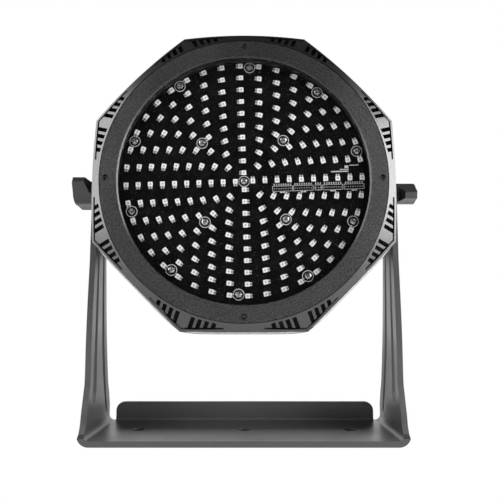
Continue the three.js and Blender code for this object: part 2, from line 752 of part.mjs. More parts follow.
function signalInletSolid(x) {
  const floor = 43;
  const body = rodAlongY(10.2, 34, ON_REAR + 1, x, SOCKET_Z, 20).add(socketFlange(x));
  const cavity = rodAlongY(8.6, floor, ON_REAR + 3, x, SOCKET_Z, 20);
  const pins = signalPinPlaces().map(([u, v]) => rodAlongY(1.2, floor - 1, floor + 8, x + u, SOCKET_Z + v, 6));
  return joined([body.subtract(cavity), ...pins]);
}

function signalOutletSolid(x) {
  const body = rodAlongY(10.2, 34, ON_REAR + 1, x, SOCKET_Z, 20).add(socketFlange(x));
  const insert = rodAlongY(8.4, ON_REAR, ON_REAR + 3.4, x, SOCKET_Z, 20);
  const holes = signalPinPlaces().map(([u, v]) =>
    rodAlongY(1.3, ON_REAR - 6, ON_REAR + 5, x + u, SOCKET_Z + v, 6),
  );
  return without(body.add(insert), holes);
}

function fuseHolderSolid() {
  const sleeve = rodAlongY(6.8, 28, ON_REAR + 1, FUSE_X, SOCKET_Z, 16);
  const flange = rodAlongY(9, ON_REAR, ON_REAR + 2, FUSE_X, SOCKET_Z, 16);
  return sleeve.add(flange).subtract(rodAlongY(4.5, 32, ON_REAR + 3, FUSE_X, SOCKET_Z, 12));
}

function fuseCapSolid() {
  const face = ON_REAR + 2 + GAP;
  const stem = rodAlongY(4.1, 40, face + 1, FUSE_X, SOCKET_Z, 12);
  const cap = rodAlongY(6.8, face, face + 6, FUSE_X, SOCKET_Z, 12);
  const slot = block([FUSE_X - 5, FUSE_X + 5], [face + 4.6, face + 7], [SOCKET_Z - 0.8, SOCKET_Z + 0.8]);
  return stem.add(cap).subtract(slot);
}

function rearScrewSolid(x, z) {
  const profile = [
    [0, ON_REAR + 2.2],
    [2, ON_REAR + 2.2],
    [3.4, ON_REAR + 0.9],
    [3.4, ON_REAR],
    [1.5, ON_REAR],
    [1.5, REAR_INSIDE - 8],
    [0, REAR_INSIDE - 8],
  ];
  return turned(profile, 10).translate([x, 0, z]);
}

// A stepped strap above the fan. A safety cable's hook passes through its hole.
function safetyEyeSolid() {
  const strap = shapeOf([
    [ON_REAR, 93],
    [ON_REAR + 2.5, 93],
    [ON_REAR + 2.5, 99.5],
    [ON_REAR + 9.5, 102],
    [ON_REAR + 9.5, 121],
    [ON_REAR + 7, 121],
    [ON_REAR + 7, 103.8],
    [ON_REAR, 101.3],
  ]);
  return plateAlongX(strap, -12, 12).subtract(rodAlongY(6, REAR_FACE, 70, 0, 112, 16));
}

// ---------------------------------------------------------------- fan

function fanFrameSolid() {
  const back = REAR_INSIDE - GAP;
  const front = back - 25;
  const half = FAN_SIZE / 2;
  const shell = block([-half, half], [front, back], [FAN_Z - half, FAN_Z + half]);
  const bore = rodAlongY(FAN_BORE, front - 1, back + 1, 0, FAN_Z, 32);
  const motorPlate = rodAlongY(16, front, front + 2.4, 0, FAN_Z, 16);
  const struts = [
    block([-half + 1, half - 1], [front, front + 2.4], [FAN_Z - 2, FAN_Z + 2]),
    block([-2, 2], [front, front + 2.4], [FAN_Z - half + 1, FAN_Z + half - 1]),
  ];
  const shaftHole = rodAlongY(1.9, front - 1, front + 3, 0, FAN_Z, 8);
  return joined([shell.subtract(bore), motorPlate, ...struts]).subtract(shaftHole);
}

function fanRotorSolid() {
  const front = REAR_INSIDE - GAP - 25;
  const hub = rodAlongY(17, front + 2.9, front + 23, 0, 0, 20);
  const shaft = rodAlongY(1.5, front + 0.4, front + 4, 0, 0, 8);
  const bladeCount = 7;
  const blades = Array.from({ length: bladeCount }, (_, i) => {
    const geometry = new THREE.BoxGeometry(26, 19, 1.6);
    geometry.rotateX(THREE.MathUtils.degToRad(38)).translate(28.4, front + 13, 0);
    return solidOf(geometry.rotateY((i * 2 * Math.PI) / bladeCount));
  });
  return joined([hub, shaft, ...blades]).translate([0, 0, FAN_Z]);
}

function fanGuardSolid() {
  const depth = [ON_REAR, ON_REAR + 2];
  const rings = [12, 22, 32, 43.5].map((radius) => rectangularRing(radius - 1, radius + 1, ...depth, 24));
  const bars = [0, 1, 2, 3].map((i) => {
    const geometry = new THREE.BoxGeometry(88, 2, 2.4).translate(0, ON_REAR + 1, 0);
    return solidOf(geometry.rotateY(((i + 0.5) * Math.PI) / 4));
  });
  return joined([...rings, ...bars]).translate([0, 0, FAN_Z]);
}

// ---------------------------------------------------------------- electronics

function powerSupplySolid() {
  const tray = block([-80, 80], [FIN_END + GAP, FIN_END + 2.3], [-108, -30]);
  const can = block([-72, 72], [FIN_END + 2, 20], [-102, -36]);
  const terminals = block([-60, 20], [19, 24], [-58, -46]);
  return joined([tray, can, terminals]);
}

function ledDriverSolid() {
  const boardBack = FIN_END + 6;
  const board = block([-62, 62], [boardBack - 1.6, boardBack], [8, 88]);
  const feet = [-1, 1].flatMap((sideX) =>
    [16, 80].map((z) => rodAlongY(3, FIN_END + GAP, boardBack - 1, sideX * 54, z, 8)),
  );
  const chokes = [-40, -14, 14, 40].map((x) => rodAlongY(9, boardBack - 0.5, boardBack + 14, x, 66, 12));
  const chips = [-45, -15, 15, 45].map((x) => block([x - 6, x + 6], [boardBack - 0.5, boardBack + 2], [24, 36]));
  return joined([board, ...feet, ...chokes, ...chips]);
}

function addRear(head) {
  piece(head, "rear_cover", rearCoverSolid(), BLACK_COAT);
  piece(head, "display_window", displayWindowSolid(), CLEAR);
  piece(head, "control_board", controlBoardSolid(), GREEN_BOARD);
  const buttonNames = ["menu", "down", "up", "enter"];
  buttonPlaces().forEach((x, i) => piece(head, `button_${buttonNames[i]}`, buttonSolid(-x), BUTTON_GREY));
  piece(head, "power_inlet", powerSocketSolid(SOCKET_X[3]), SOCKET_BLUE);
  piece(head, "power_outlet", powerSocketSolid(SOCKET_X[2]), SOCKET_GREY);
  piece(head, "signal_inlet", signalInletSolid(SOCKET_X[1]), BLACK_PLASTIC);
  piece(head, "signal_outlet", signalOutletSolid(SOCKET_X[0]), BLACK_PLASTIC);
  piece(head, "fuse_holder", fuseHolderSolid(), BLACK_PLASTIC);
  piece(head, "fuse_cap", fuseCapSolid(), BLACK_PLASTIC);
  piece(head, "safety_eye", safetyEyeSolid(), STEEL);
  piece(head, "fan_frame", fanFrameSolid(), BLACK_PLASTIC);
  piece(head, "fan_rotor", fanRotorSolid(), BLACK_PLASTIC);
  piece(head, "fan_guard", fanGuardSolid(), STEEL);
  piece(head, "power_supply", powerSupplySolid(), ALUMINIUM);
  piece(head, "led_driver", ledDriverSolid(), GREEN_BOARD);
  const corners = [
    [-POST_X, -POST_Z],
    [POST_X, -POST_Z],
    [-POST_X, POST_Z],
    [POST_X, POST_Z],
  ];
  corners.forEach(([x, z], i) => piece(head, `rear_screw_${i + 1}`, rearScrewSolid(x, z), BLACK_SCREW));
}

// ---------------------------------------------------------------- assembly

const light = new THREE.Group();
const head = new THREE.Group();
head.position.z = PIVOT_Z + HEAD_RISE;
head.rotation.x = TILT;
light.add(head);

piece(light, "yoke", yokeSolid(), YOKE_COAT);
addFront(head);
addLightEngine(head);
piece(head, "housing_shell", housingSolid(), BLACK_COAT);
addPivots(light, head);
addRear(head);

export default light;
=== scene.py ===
"""The finished look of the par can light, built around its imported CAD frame.

Every piece of the head is drawn in the head's own millimetres: y runs along the beam axis, with the front
at negative y, x to the right and z up. HEAD places that frame in the row frame.
"""

import json
import math

import bmesh
import bpy
from mathutils import Matrix, Vector


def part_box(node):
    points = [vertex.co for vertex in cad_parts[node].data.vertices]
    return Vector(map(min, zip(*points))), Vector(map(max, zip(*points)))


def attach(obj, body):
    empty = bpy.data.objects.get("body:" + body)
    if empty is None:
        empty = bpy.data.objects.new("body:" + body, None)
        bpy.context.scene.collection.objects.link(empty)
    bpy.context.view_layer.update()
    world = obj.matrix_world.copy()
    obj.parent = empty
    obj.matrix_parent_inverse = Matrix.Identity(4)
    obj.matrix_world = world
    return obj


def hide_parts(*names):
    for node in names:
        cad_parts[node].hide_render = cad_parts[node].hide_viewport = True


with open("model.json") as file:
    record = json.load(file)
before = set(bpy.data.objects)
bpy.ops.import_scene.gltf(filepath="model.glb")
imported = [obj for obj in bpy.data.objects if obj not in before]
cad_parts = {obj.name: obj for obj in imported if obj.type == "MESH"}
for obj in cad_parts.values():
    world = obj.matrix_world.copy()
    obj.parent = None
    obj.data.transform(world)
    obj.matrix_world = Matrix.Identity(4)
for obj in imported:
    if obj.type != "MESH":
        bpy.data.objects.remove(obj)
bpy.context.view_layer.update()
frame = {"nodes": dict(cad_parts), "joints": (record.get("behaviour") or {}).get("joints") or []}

MM = 0.001
joints = {joint["name"]: joint for joint in frame["joints"]}
PIVOT = Vector(joints["head_tilt"]["pos_m"])
BEAM_BACK = Vector(joints["fan_spin"]["axis"])
TILT = math.atan2(BEAM_BACK.z, BEAM_BACK.y)
HEAD_RISE = 2.0  # millimetres from the tilt axis up to the beam axis
HEAD = Matrix.Translation(PIVOT + Vector((0, 0, HEAD_RISE * MM))) @ Matrix.Rotation(TILT, 4, "X")
ROW = Matrix.Identity(4)


def local_box(node):
    """Lowest and highest corner of a CAD node in the head's own millimetres."""
    inverse = HEAD.inverted()
    points = [inverse @ vertex.co / MM for vertex in frame["nodes"][node].data.vertices]
    low = Vector(min(point[i] for point in points) for i in range(3))
    high = Vector(max(point[i] for point in points) for i in range(3))
    return low, high


def row_box(node):
    """The same in the row frame's millimetres."""
    low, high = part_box(node)
    return low / MM, high / MM


# ---------------------------------------------------------------- sizes, in millimetres

GAP = 0.3
CORNER = math.pi / 8  # half the turn between two of an octagon's sides
RING_STEPS = 192

bezel_low, bezel_high = local_box("bezel_ring")
BEZEL_FRONT, BEZEL_BACK = bezel_low.y, bezel_high.y
BEZEL_OUTER = 145.3
BEZEL_OPENING = 127.6
BEZEL_SCREW_CIRCLE = 139.3

cover_low, cover_high = local_box("front_cover")
COVER_FRONT, COVER_BACK = cover_low.y, cover_high.y
COVER_HALF = cover_high.x
COVER_WALL = 2.0
COVER_FACE = 2.6
LAND_RADIUS = 147.0
CONE_SLOPE = 0.63
CONE_REACH = 22  # how far the slope is drawn past the bezel's seat

BOARD_BACK = local_box("led_board")[1].y
BOARD_FRONT = BOARD_BACK - 1.6
BOARD_RADIUS = 128.0
BOARD_TURN = math.radians(1.9)
LED_RINGS = 10
LED_FIRST_RADIUS = 9.0
LED_RING_PITCH = 12.5

window_low, window_high = local_box("front_window")
gasket_low, gasket_high = local_box("window_gasket")
WINDOW_RADIUS = 133.5

housing_low, housing_high = local_box("housing_shell")
HOUSING_FRONT, HOUSING_BACK = housing_low.y, housing_high.y
SIDE_BOW = 2.4
BOW_SHARPNESS = 6  # how flat the swollen sides stay before they turn in to their corners

rear_low, rear_high = local_box("rear_cover")
REAR_RIM, REAR_FACE = rear_low.y, rear_high.y
REAR_WALL = 2.4
REAR_INSIDE = REAR_FACE - REAR_WALL
ON_REAR = REAR_FACE + GAP
REAR_FLAT_HALF = 118.0

yoke_high = row_box("yoke")[1]
ARM_OUTER_X = yoke_high.x
PLATE = 6.0
ARM_INNER_X = ARM_OUTER_X - PLATE
BASE_HALF_DEPTH = yoke_high.y
PIVOT_Z = PIVOT.z / MM
ARM_TOP_RADIUS = yoke_high.z - PIVOT_Z


# ---------------------------------------------------------------- mesh helpers


def new_object(name, vertices, faces, place=HEAD):
    """A mesh from millimetre vertices, its faces turned to point out."""
    mesh = bpy.data.meshes.new(name)
    mesh.from_pydata([tuple(c * MM for c in vertex) for vertex in vertices], [], faces)
    bm = bmesh.new()
    bm.from_mesh(mesh)
    bmesh.ops.recalc_face_normals(bm, faces=bm.faces)
    bm.to_mesh(mesh)
    bm.free()
    made = bpy.data.objects.new(name, mesh)
    bpy.context.scene.collection.objects.link(made)
    made.matrix_world = place
    return made


AXIS_ORDER = {"x": (2, 0, 1), "y": (0, 2, 1), "z": (0, 1, 2)}


def on_axis(axis, u, v, along):
    """The point at (u, v) across an axis and `along` on it, as (x, y, z)."""
    values = (u, v, along)
    return tuple(values[i] for i in AXIS_ORDER[axis])


def prism(name, outline, low, high, axis, place=HEAD):
    """An outline extruded from low to high. It is drawn in (y, z), (x, z) or (x, y), whichever axis leaves."""
    count = len(outline)
    vertices = [on_axis(axis, u, v, end) for end in (low, high) for u, v in outline]
    faces = [list(range(count)), list(range(count, 2 * count))]
    faces += [[i, (i + 1) % count, count + (i + 1) % count, count + i] for i in range(count)]
    return new_object(name, vertices, faces, place)


def box(name, low, high, place=HEAD):
    outline = [(low[0], low[1]), (high[0], low[1]), (high[0], high[1]), (low[0], high[1])]
    return prism(name, outline, low[2], high[2], "z", place)


def lathe(name, profile, steps=RING_STEPS, axis="y", place=HEAD, centre=(0.0, 0.0), start=0.0, closed=False):
    """A profile of (radius, along) points turned about an axis through `centre`."""
    vertices, rows = [], []
    for radius, along in profile:
        if radius < 1e-6:
            rows.append([len(vertices)] * steps)
            vertices.append(on_axis(axis, centre[0], centre[1], along))
            continue
        rows.append(list(range(len(vertices), len(vertices) + steps)))
        for i in range(steps):
            angle = start + 2 * math.pi * i / steps
            u = centre[0] + radius * math.cos(angle)
            v = centre[1] + radius * math.sin(angle)
            vertices.append(on_axis(axis, u, v, along))
    if closed:
        rows.append(rows[0])
    faces = []
    for upper, lower in zip(rows, rows[1:]):
        for i in range(steps):
            j = (i + 1) % steps
            corners = [upper[i], upper[j], lower[j], lower[i]]
            face = [c for k, c in enumerate(corners) if c != corners[k - 1]]
            if len(face) > 2:
                faces.append(face)
    return new_object(name, vertices, faces, place)


def rod(name, radius, low, high, axis, centre=(0.0, 0.0), steps=48, place=HEAD):
    profile = [(0, low), (radius, low), (radius, high), (0, high)]
    return lathe(name, profile, steps, axis, place, centre)


def joined(name, parts):
    """Several objects as one mesh, without cutting them against each other."""
    bm = bmesh.new()
    first = parts[0]
    for part in parts:
        before = set(bm.verts)
        bm.from_mesh(part.data)
        move = first.matrix_world.inverted() @ part.matrix_world
        if part is not first:
            bmesh.ops.transform(bm, matrix=move, verts=[v for v in bm.verts if v not in before])
    mesh = bpy.data.meshes.new(name)
    bm.to_mesh(mesh)
    bm.free()
    place = first.matrix_world.copy()
    for part in parts:
        bpy.data.objects.remove(part)
    made = bpy.data.objects.new(name, mesh)
    bpy.context.scene.collection.objects.link(made)
    made.matrix_world = place
    return made


def baked(target):
    """Applies the modifiers of an object to its mesh."""
    bpy.context.view_layer.update()
    depsgraph = bpy.context.evaluated_depsgraph_get()
    mesh = bpy.data.meshes.new_from_object(target.evaluated_get(depsgraph))
    target.modifiers.clear()
    target.data = mesh
    return target


def combined(target, tool, operation):
    modifier = target.modifiers.new("shape", "BOOLEAN")
    modifier.operation = operation
    modifier.object = tool
    modifier.solver = "EXACT"
    modifier.use_hole_tolerant = True
    baked(target)
    bpy.data.objects.remove(tool)
    return target


def tidied(target):
    """Joins the flat facets that earlier cuts left behind."""
    bm = bmesh.new()
    bm.from_mesh(target.data)
    bmesh.ops.remove_doubles(bm, verts=bm.verts, dist=0.005 * MM)
    bmesh.ops.dissolve_degenerate(bm, edges=bm.edges, dist=0.005 * MM)
    bmesh.ops.dissolve_limit(bm, angle_limit=math.radians(0.2), verts=bm.verts, edges=bm.edges)
    bm.to_mesh(target.data)
    bm.free()
    return target


def cut(target, *tools):
    """Takes away tools that don't touch each other."""
    tool = joined("tool", list(tools)) if len(tools) > 1 else tools[0]
    return combined(target, tool, "DIFFERENCE")


def rounded(target, width, segments=2, angle=30):
    """Rounds every edge sharper than the angle, and shades the rest smooth."""
    bevel = target.modifiers.new("edges", "BEVEL")
    bevel.width = width * MM
    bevel.segments = segments
    bevel.limit_method = "ANGLE"
    bevel.angle_limit = math.radians(angle)
    bevel.use_clamp_overlap = True
    baked(target)
    return smoothed(target)


def smoothed(target, angle=38):
    target.data.polygons.foreach_set("use_smooth", [True] * len(target.data.polygons))
    target.data.set_sharp_from_angle(angle=math.radians(angle))
    weighted = target.modifiers.new("normals", "WEIGHTED_NORMAL")
    weighted.keep_sharp = True
    return target


def arc(centre, radius, start, end, steps):
    """Points of an arc, its angles in degrees."""
    points = []
    for i in range(steps + 1):
        angle = math.radians(start + (end - start) * i / steps)
        points.append((centre[0] + radius * math.cos(angle), centre[1] + radius * math.sin(angle)))
    return points


def curve_through(points, steps=6):
    """A smooth open line through a few points."""
    ends = [points[0], *points, points[-1]]
    line = []
    for a, b, c, d in zip(ends, ends[1:], ends[2:], ends[3:]):
        for i in range(steps):
            t = i / steps
            weights = (
                -0.5 * t**3 + t**2 - 0.5 * t,
                1.5 * t**3 - 2.5 * t**2 + 1,
                -1.5 * t**3 + 2 * t**2 + 0.5 * t,
                0.5 * t**3 - 0.5 * t**2,
            )
            line.append(tuple(sum(w * p[k] for w, p in zip(weights, (a, b, c, d))) for k in (0, 1)))
    return [*line, points[-1]]


def octagon(half, bow=0.0, steps=1):
    side_half = half * math.tan(CORNER)
    points = []
    for side in range(8):
        normal = side * 2 * CORNER
        for step in range(steps):
            along = side_half * (2 * step / steps - 1)
            out = half + bow * (1 - (along / side_half) ** BOW_SHARPNESS)
            x = out * math.cos(normal) - along * math.sin(normal)
            z = out * math.sin(normal) + along * math.cos(normal)
            points.append((x, z))
    return points


def eight_sided(name, profile):
    to_corner = 1 / math.cos(CORNER)
    return lathe(name, [(half * to_corner, y) for half, y in profile], 8, start=CORNER)


def turned_about_beam(angle):
    """A turn in radians, anticlockwise as seen from the front, in the head's own frame."""
    return Matrix.Rotation(-angle, 4, "Y")


# ---------------------------------------------------------------- materials


class Finish:
    """A small builder of procedural materials on the Principled shader."""

    def __init__(self, name, roughness, metallic=0.0, specular=0.5):
        self.material = bpy.data.materials.new(name)
        self.material.use_nodes = True
        self.nodes = self.material.node_tree.nodes
        self.links = self.material.node_tree.links
        self.shader = self.nodes["Principled BSDF"]
        self.shader.inputs["Metallic"].default_value = metallic
        self.shader.inputs["Roughness"].default_value = roughness
        self.shader.inputs["Specular IOR Level"].default_value = specular
        self.coordinates = self.nodes.new("ShaderNodeTexCoord").outputs["Object"]

    def noise(self, scale, detail=3.0, stretch=(1, 1, 1)):
        mapping = self.nodes.new("ShaderNodeMapping")
        mapping.inputs["Scale"].default_value = stretch
        texture = self.nodes.new("ShaderNodeTexNoise")
        texture.inputs["Scale"].default_value = scale
        texture.inputs["Detail"].default_value = detail
        self.links.new(self.coordinates, mapping.inputs["Vector"])
        self.links.new(mapping.outputs["Vector"], texture.inputs["Vector"])
        return texture.outputs["Fac"]

    def spread(self, value, low, high, from_low=0.3, from_high=0.7):
        node = self.nodes.new("ShaderNodeMapRange")
        for name, number in zip(("From Min", "From Max", "To Min", "To Max"), (from_low, from_high, low, high)):
            node.inputs[name].default_value = number
        self.links.new(value, node.inputs["Value"])
        return node.outputs["Result"]

    def colour(self, value, dark, light, from_low=0.3, from_high=0.7):
        """Runs from one colour to the other as the value rises."""
        ramp = self.nodes.new("ShaderNodeValToRGB")
        for element, position, tone in zip(ramp.color_ramp.elements, (from_low, from_high), (dark, light)):
            element.position = position
            element.color = (*tone, 1)
        self.links.new(value, ramp.inputs["Fac"])
        return ramp.outputs["Color"]

    def bump(self, value, distance, strength=1.0):
        node = self.nodes.new("ShaderNodeBump")
        node.inputs["Distance"].default_value = distance * MM
        node.inputs["Strength"].default_value = strength
        self.links.new(value, node.inputs["Height"])
        self.links.new(node.outputs["Normal"], self.shader.inputs["Normal"])

    def connect(self, output, socket):
        self.links.new(output, self.shader.inputs[socket])


def grey(value):
    return (value, value, value * 1.02)


def powder_coat(name, tone, roughness, metallic, grain=0.03, scale=1500, mottle=0.24):
    """Fine-grained paint with a little unevenness in its gloss."""
    finish = Finish(name, roughness, metallic)
    fine = finish.noise(scale, 4)
    finish.connect(finish.colour(fine, grey(tone * (1 - mottle)), grey(tone * (1 + mottle))), "Base Color")
    finish.connect(finish.spread(finish.noise(14, 5), roughness - 0.05, roughness + 0.06), "Roughness")
    finish.bump(fine, grain)
    return finish.material


def moulded(name, colour, roughness, grain=0.02, scale=2200):
    """Moulded plastic with a fine spark-eroded texture."""
    finish = Finish(name, roughness, 0.0)
    fine = finish.noise(scale, 3)
    dark = tuple(c * 0.88 for c in colour)
    light = tuple(min(1.0, c * 1.1) for c in colour)
    finish.connect(finish.colour(fine, dark, light), "Base Color")
    finish.connect(finish.spread(finish.noise(40, 4), roughness - 0.06, roughness + 0.06), "Roughness")
    finish.bump(fine, grain)
    return finish.material


def metal(name, tone, roughness, stretch=(1, 1, 1), scale=700):
    """Bare or plated metal with faint brushing along one axis."""
    finish = Finish(name, roughness, 1.0)
    lines = finish.noise(scale, 4, stretch)
    finish.connect(finish.colour(lines, grey(tone * 0.85), grey(tone * 1.1)), "Base Color")
    finish.connect(finish.spread(lines, roughness - 0.07, roughness + 0.08), "Roughness")
    finish.bump(lines, 0.01)
    return finish.material


def solder_mask(name, base, trace, pitch):
    """Glossy mask over copper: fine concentric tracks show as slightly raised, slightly paler rings."""
    finish = Finish(name, 0.25, 0.0, 0.1)
    split = finish.nodes.new("ShaderNodeSeparateXYZ")
    finish.links.new(finish.coordinates, split.inputs["Vector"])

    def calculate(operation, *values):
        node = finish.nodes.new("ShaderNodeMath")
        node.operation = operation
        for socket, value in zip(node.inputs, values):
            if isinstance(value, (int, float)):
                socket.default_value = value
            else:
                finish.links.new(value, socket)
        return node.outputs["Value"]

    squares = [calculate("MULTIPLY", split.outputs[axis], split.outputs[axis]) for axis in ("X", "Z")]
    radius = calculate("SQRT", calculate("ADD", *squares))
    wave = calculate("SINE", calculate("MULTIPLY", radius, 2 * math.pi / (pitch * MM)))
    broken = calculate("ADD", wave, finish.spread(finish.noise(90, 2), -0.9, 0.5))
    tracks = finish.spread(broken, 0.0, 1.0, 0.35, 0.75)
    finish.connect(finish.colour(tracks, base, trace, 0.0, 1.0), "Base Color")
    finish.connect(finish.spread(finish.noise(60, 4), 0.2, 0.3), "Roughness")
    finish.bump(tracks, 0.006)
    return finish.material


def clear_plastic(name, alpha, tint=(0.9, 0.93, 0.95)):
    """A thin clear sheet, seen only by its faint gloss."""
    finish = Finish(name, 0.04, 0.0, 0.5)
    haze = finish.noise(30, 3)
    finish.connect(finish.colour(haze, tint, tuple(min(1, c * 1.04) for c in tint)), "Base Color")
    finish.shader.inputs["Alpha"].default_value = alpha
    return finish.material


YOKE_COAT = powder_coat("yoke_coat", 0.075, 0.36, 0.5, 0.02)
COVER_COAT = powder_coat("cover_coat", 0.095, 0.33, 0.95, 0.006)
SHELL_COAT = powder_coat("shell_coat", 0.05, 0.45, 0.3, 0.02)
BEZEL_COAT = powder_coat("bezel_coat", 0.062, 0.39, 0.85, 0.1, 620, 0.6)
BOARD_MASK = solder_mask("board_mask", (0.0006, 0.0006, 0.0006), (0.0045, 0.0045, 0.0045), 1.56)
GREEN_MASK = solder_mask("green_mask", (0.008, 0.06, 0.025), (0.02, 0.1, 0.045), 3.1)
CLEAR = clear_plastic("clear_window", 0.01, (0.12, 0.12, 0.125))
DISPLAY_CLEAR = clear_plastic("display_clear", 0.93, (0.008, 0.01, 0.012))
RUBBER = moulded("rubber", (0.012, 0.012, 0.012), 0.8, 0.03, 900)
CAST_ALUMINIUM = metal("cast_aluminium", 0.55, 0.45, (1, 1, 0.1))
PLATED_STEEL = metal("plated_steel", 0.5, 0.3)
BLACK_STEEL = metal("black_steel", 0.5, 0.24)
SCREW_BLACK = metal("screw_black", 0.12, 0.25)
BLACK_ANODISED = powder_coat("black_anodised", 0.012, 0.5, 0.3, 0.01)
DARK_TRIM = metal("dark_trim", 0.045, 0.25)
# A pale finish for the housing's front edge: painted highlight.
EDGE_HIGHLIGHT_PAINT = powder_coat("painted_edge_highlight", 0.75, 0.4, 0.2, 0.005)
BLACK_PLASTIC = moulded("black_plastic", (0.022, 0.022, 0.024), 0.42)
KNOB_PLASTIC = moulded("knob_plastic", (0.035, 0.035, 0.037), 0.24, 0.03, 1300)
NYLON = moulded("nylon", (0.75, 0.75, 0.7), 0.5)
BLUE_PLASTIC = moulded("blue_plastic", (0.04, 0.12, 0.35), 0.42)
GREY_PLASTIC = moulded("grey_plastic", (0.3, 0.31, 0.33), 0.42)
BUTTON_PLASTIC = moulded("button_plastic", (0.2, 0.2, 0.21), 0.5)
LED_WHITE = moulded("led_white", (0.62, 0.62, 0.615), 0.4, 0.004, 3000)
LED_CORE = moulded("led_core", (0.34, 0.34, 0.32), 0.25, 0.004, 2600)
TIN = powder_coat("tin", 0.42, 0.5, 0.25, 0.004, 2500)
SILK = moulded("silk_ink", (0.36, 0.36, 0.355), 0.7, 0.004, 2600)
CHIP_BLACK = moulded("chip_black", (0.02, 0.02, 0.02), 0.45, 0.006, 2600)


def dressed(piece, material, body="head"):
    """Gives a piece its finish and body. A piece named NODE_finished stands for that CAD node."""
    piece.data.materials.clear()
    piece.data.materials.append(material)
    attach(piece, body)
    node = piece.name.removesuffix("_finished")
    if node != piece.name:
        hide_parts(node)
    return piece


def carried_over(node, material, width=0.25):
    """A CAD node whose shape is right keeps it, with its edges eased."""
    made = frame["nodes"][node]
    made.data.materials.clear()
    made.data.materials.append(material)
    flat = made.modifiers.new("flat", "DECIMATE")
    flat.decimate_type = "DISSOLVE"
    flat.angle_limit = math.radians(1)
    bevel = made.modifiers.new("edges", "BEVEL")
    bevel.width = width * MM
    bevel.segments = 2
    bevel.limit_method = "ANGLE"
    bevel.angle_limit = math.radians(35)
    for polygon in made.data.polygons:
        polygon.use_smooth = True
    weighted = made.modifiers.new("normals", "WEIGHTED_NORMAL")
    weighted.keep_sharp = True


# ---------------------------------------------------------------- yoke

BEND_RADIUS = 12.0
CLAMP_HOLE_RADIUS = 7.0
CLAMP_HOLE_PITCH = 113.0
ARM_BORE_RADIUS = 4.6
LIP_HALF_WIDTH = 148.7
LIP_TOP_Z = 27.0
LIP_CORNER = 10.0
LIP_PLATE = 4.0
LIP_FOLD = 3.0


def yoke_strip():
    top = PIVOT_Z + ARM_TOP_RADIUS + 1
    outer = ARM_OUTER_X - BEND_RADIUS
    inner_bend = BEND_RADIUS - PLATE
    inner = ARM_INNER_X - inner_bend
    outline = [
        (ARM_OUTER_X, top),
        (ARM_INNER_X, top),
        *arc((inner, PLATE + inner_bend), inner_bend, 0, -90, 10),
        *arc((-inner, PLATE + inner_bend), inner_bend, -90, -180, 10),
        (-ARM_INNER_X, top),
        (-ARM_OUTER_X, top),
        *arc((-outer, BEND_RADIUS), BEND_RADIUS, -180, -90, 14),
        *arc((outer, BEND_RADIUS), BEND_RADIUS, -90, 0, 14),
    ]
    return prism("yoke_finished", outline, -BASE_HALF_DEPTH, BASE_HALF_DEPTH, "y", ROW)


def yoke_side_mask():
    front = [(-48.5, 11), (-44, 19), (-41, 30), (-34, 50), (-31, 62), (-30.5, 102), (-28, 143), (-24, 184)]
    rear = [(24, 184), (33, 108), (44, 56), (51, 39), (BASE_HALF_DEPTH, 24)]
    outline = [
        (-BASE_HALF_DEPTH, -1),
        (-BASE_HALF_DEPTH, 8),
        *curve_through(front),
        *arc((0, PIVOT_Z), ARM_TOP_RADIUS, 180, 0, 32),
        *curve_through(rear),
        (BASE_HALF_DEPTH, -1),
    ]
    return prism("mask", outline, -ARM_OUTER_X - 1, ARM_OUTER_X + 1, "x", ROW)


def arm_slots():
    front_left = [(-12.5, 228), (-14.5, 160), (-17, 101), (-19.5, 62), (-21, 44)]
    front_right = [(-6, 45), (-6.5, 62), (-7.5, 101), (-7, 160), (-6.5, 228)]
    rear_left = [(38, 17.5), (31, 33), (22, 58), (16.5, 80), (13, 101), (9, 160), (6.5, 228)]
    rear_right = [(12.5, 228), (17, 160), (22.5, 101), (26, 80), (31.5, 58), (37.5, 36), (43, 20)]
    front = [*curve_through(front_left), (-19.5, 38.5), (-15, 36), (-10, 36.8), *curve_through(front_right)]
    rear = [*curve_through(rear_left), *curve_through(rear_right), (42.5, 17)]
    front += arc((-9.5, 229), 3, 0, 180, 8)[1:-1]
    rear_top = arc((9.5, 229), 3, 180, 0, 8)[1:-1]
    middle = len(curve_through(rear_left))
    rear = rear[:middle] + rear_top + rear[middle:]
    reach = ARM_OUTER_X + 2
    return [prism("slot", outline, -reach, reach, "x", ROW) for outline in (front, rear)]


def rear_lip():
    corner = LIP_HALF_WIDTH - LIP_CORNER
    height = LIP_TOP_Z - LIP_CORNER
    outline = [
        (-LIP_HALF_WIDTH, PLATE / 2),
        (LIP_HALF_WIDTH, PLATE / 2),
        *arc((corner, height), LIP_CORNER, 0, 90, 12),
        *arc((-corner, height), LIP_CORNER, 90, 180, 12),
    ]
    return prism("lip", outline, BASE_HALF_DEPTH - LIP_PLATE, BASE_HALF_DEPTH, "y", ROW)


def lip_fold():
    """The inside radius of the fold between the base and its lip."""
    y = BASE_HALF_DEPTH - LIP_PLATE
    outline = [
        (y + 1, PLATE - 1),
        (y + 1, PLATE + LIP_FOLD),
        *arc((y - LIP_FOLD, PLATE + LIP_FOLD), LIP_FOLD, 0, -90, 6),
        (y - LIP_FOLD, PLATE - 1),
    ]
    return prism("fold", outline, -LIP_HALF_WIDTH, LIP_HALF_WIDTH, "x", ROW)


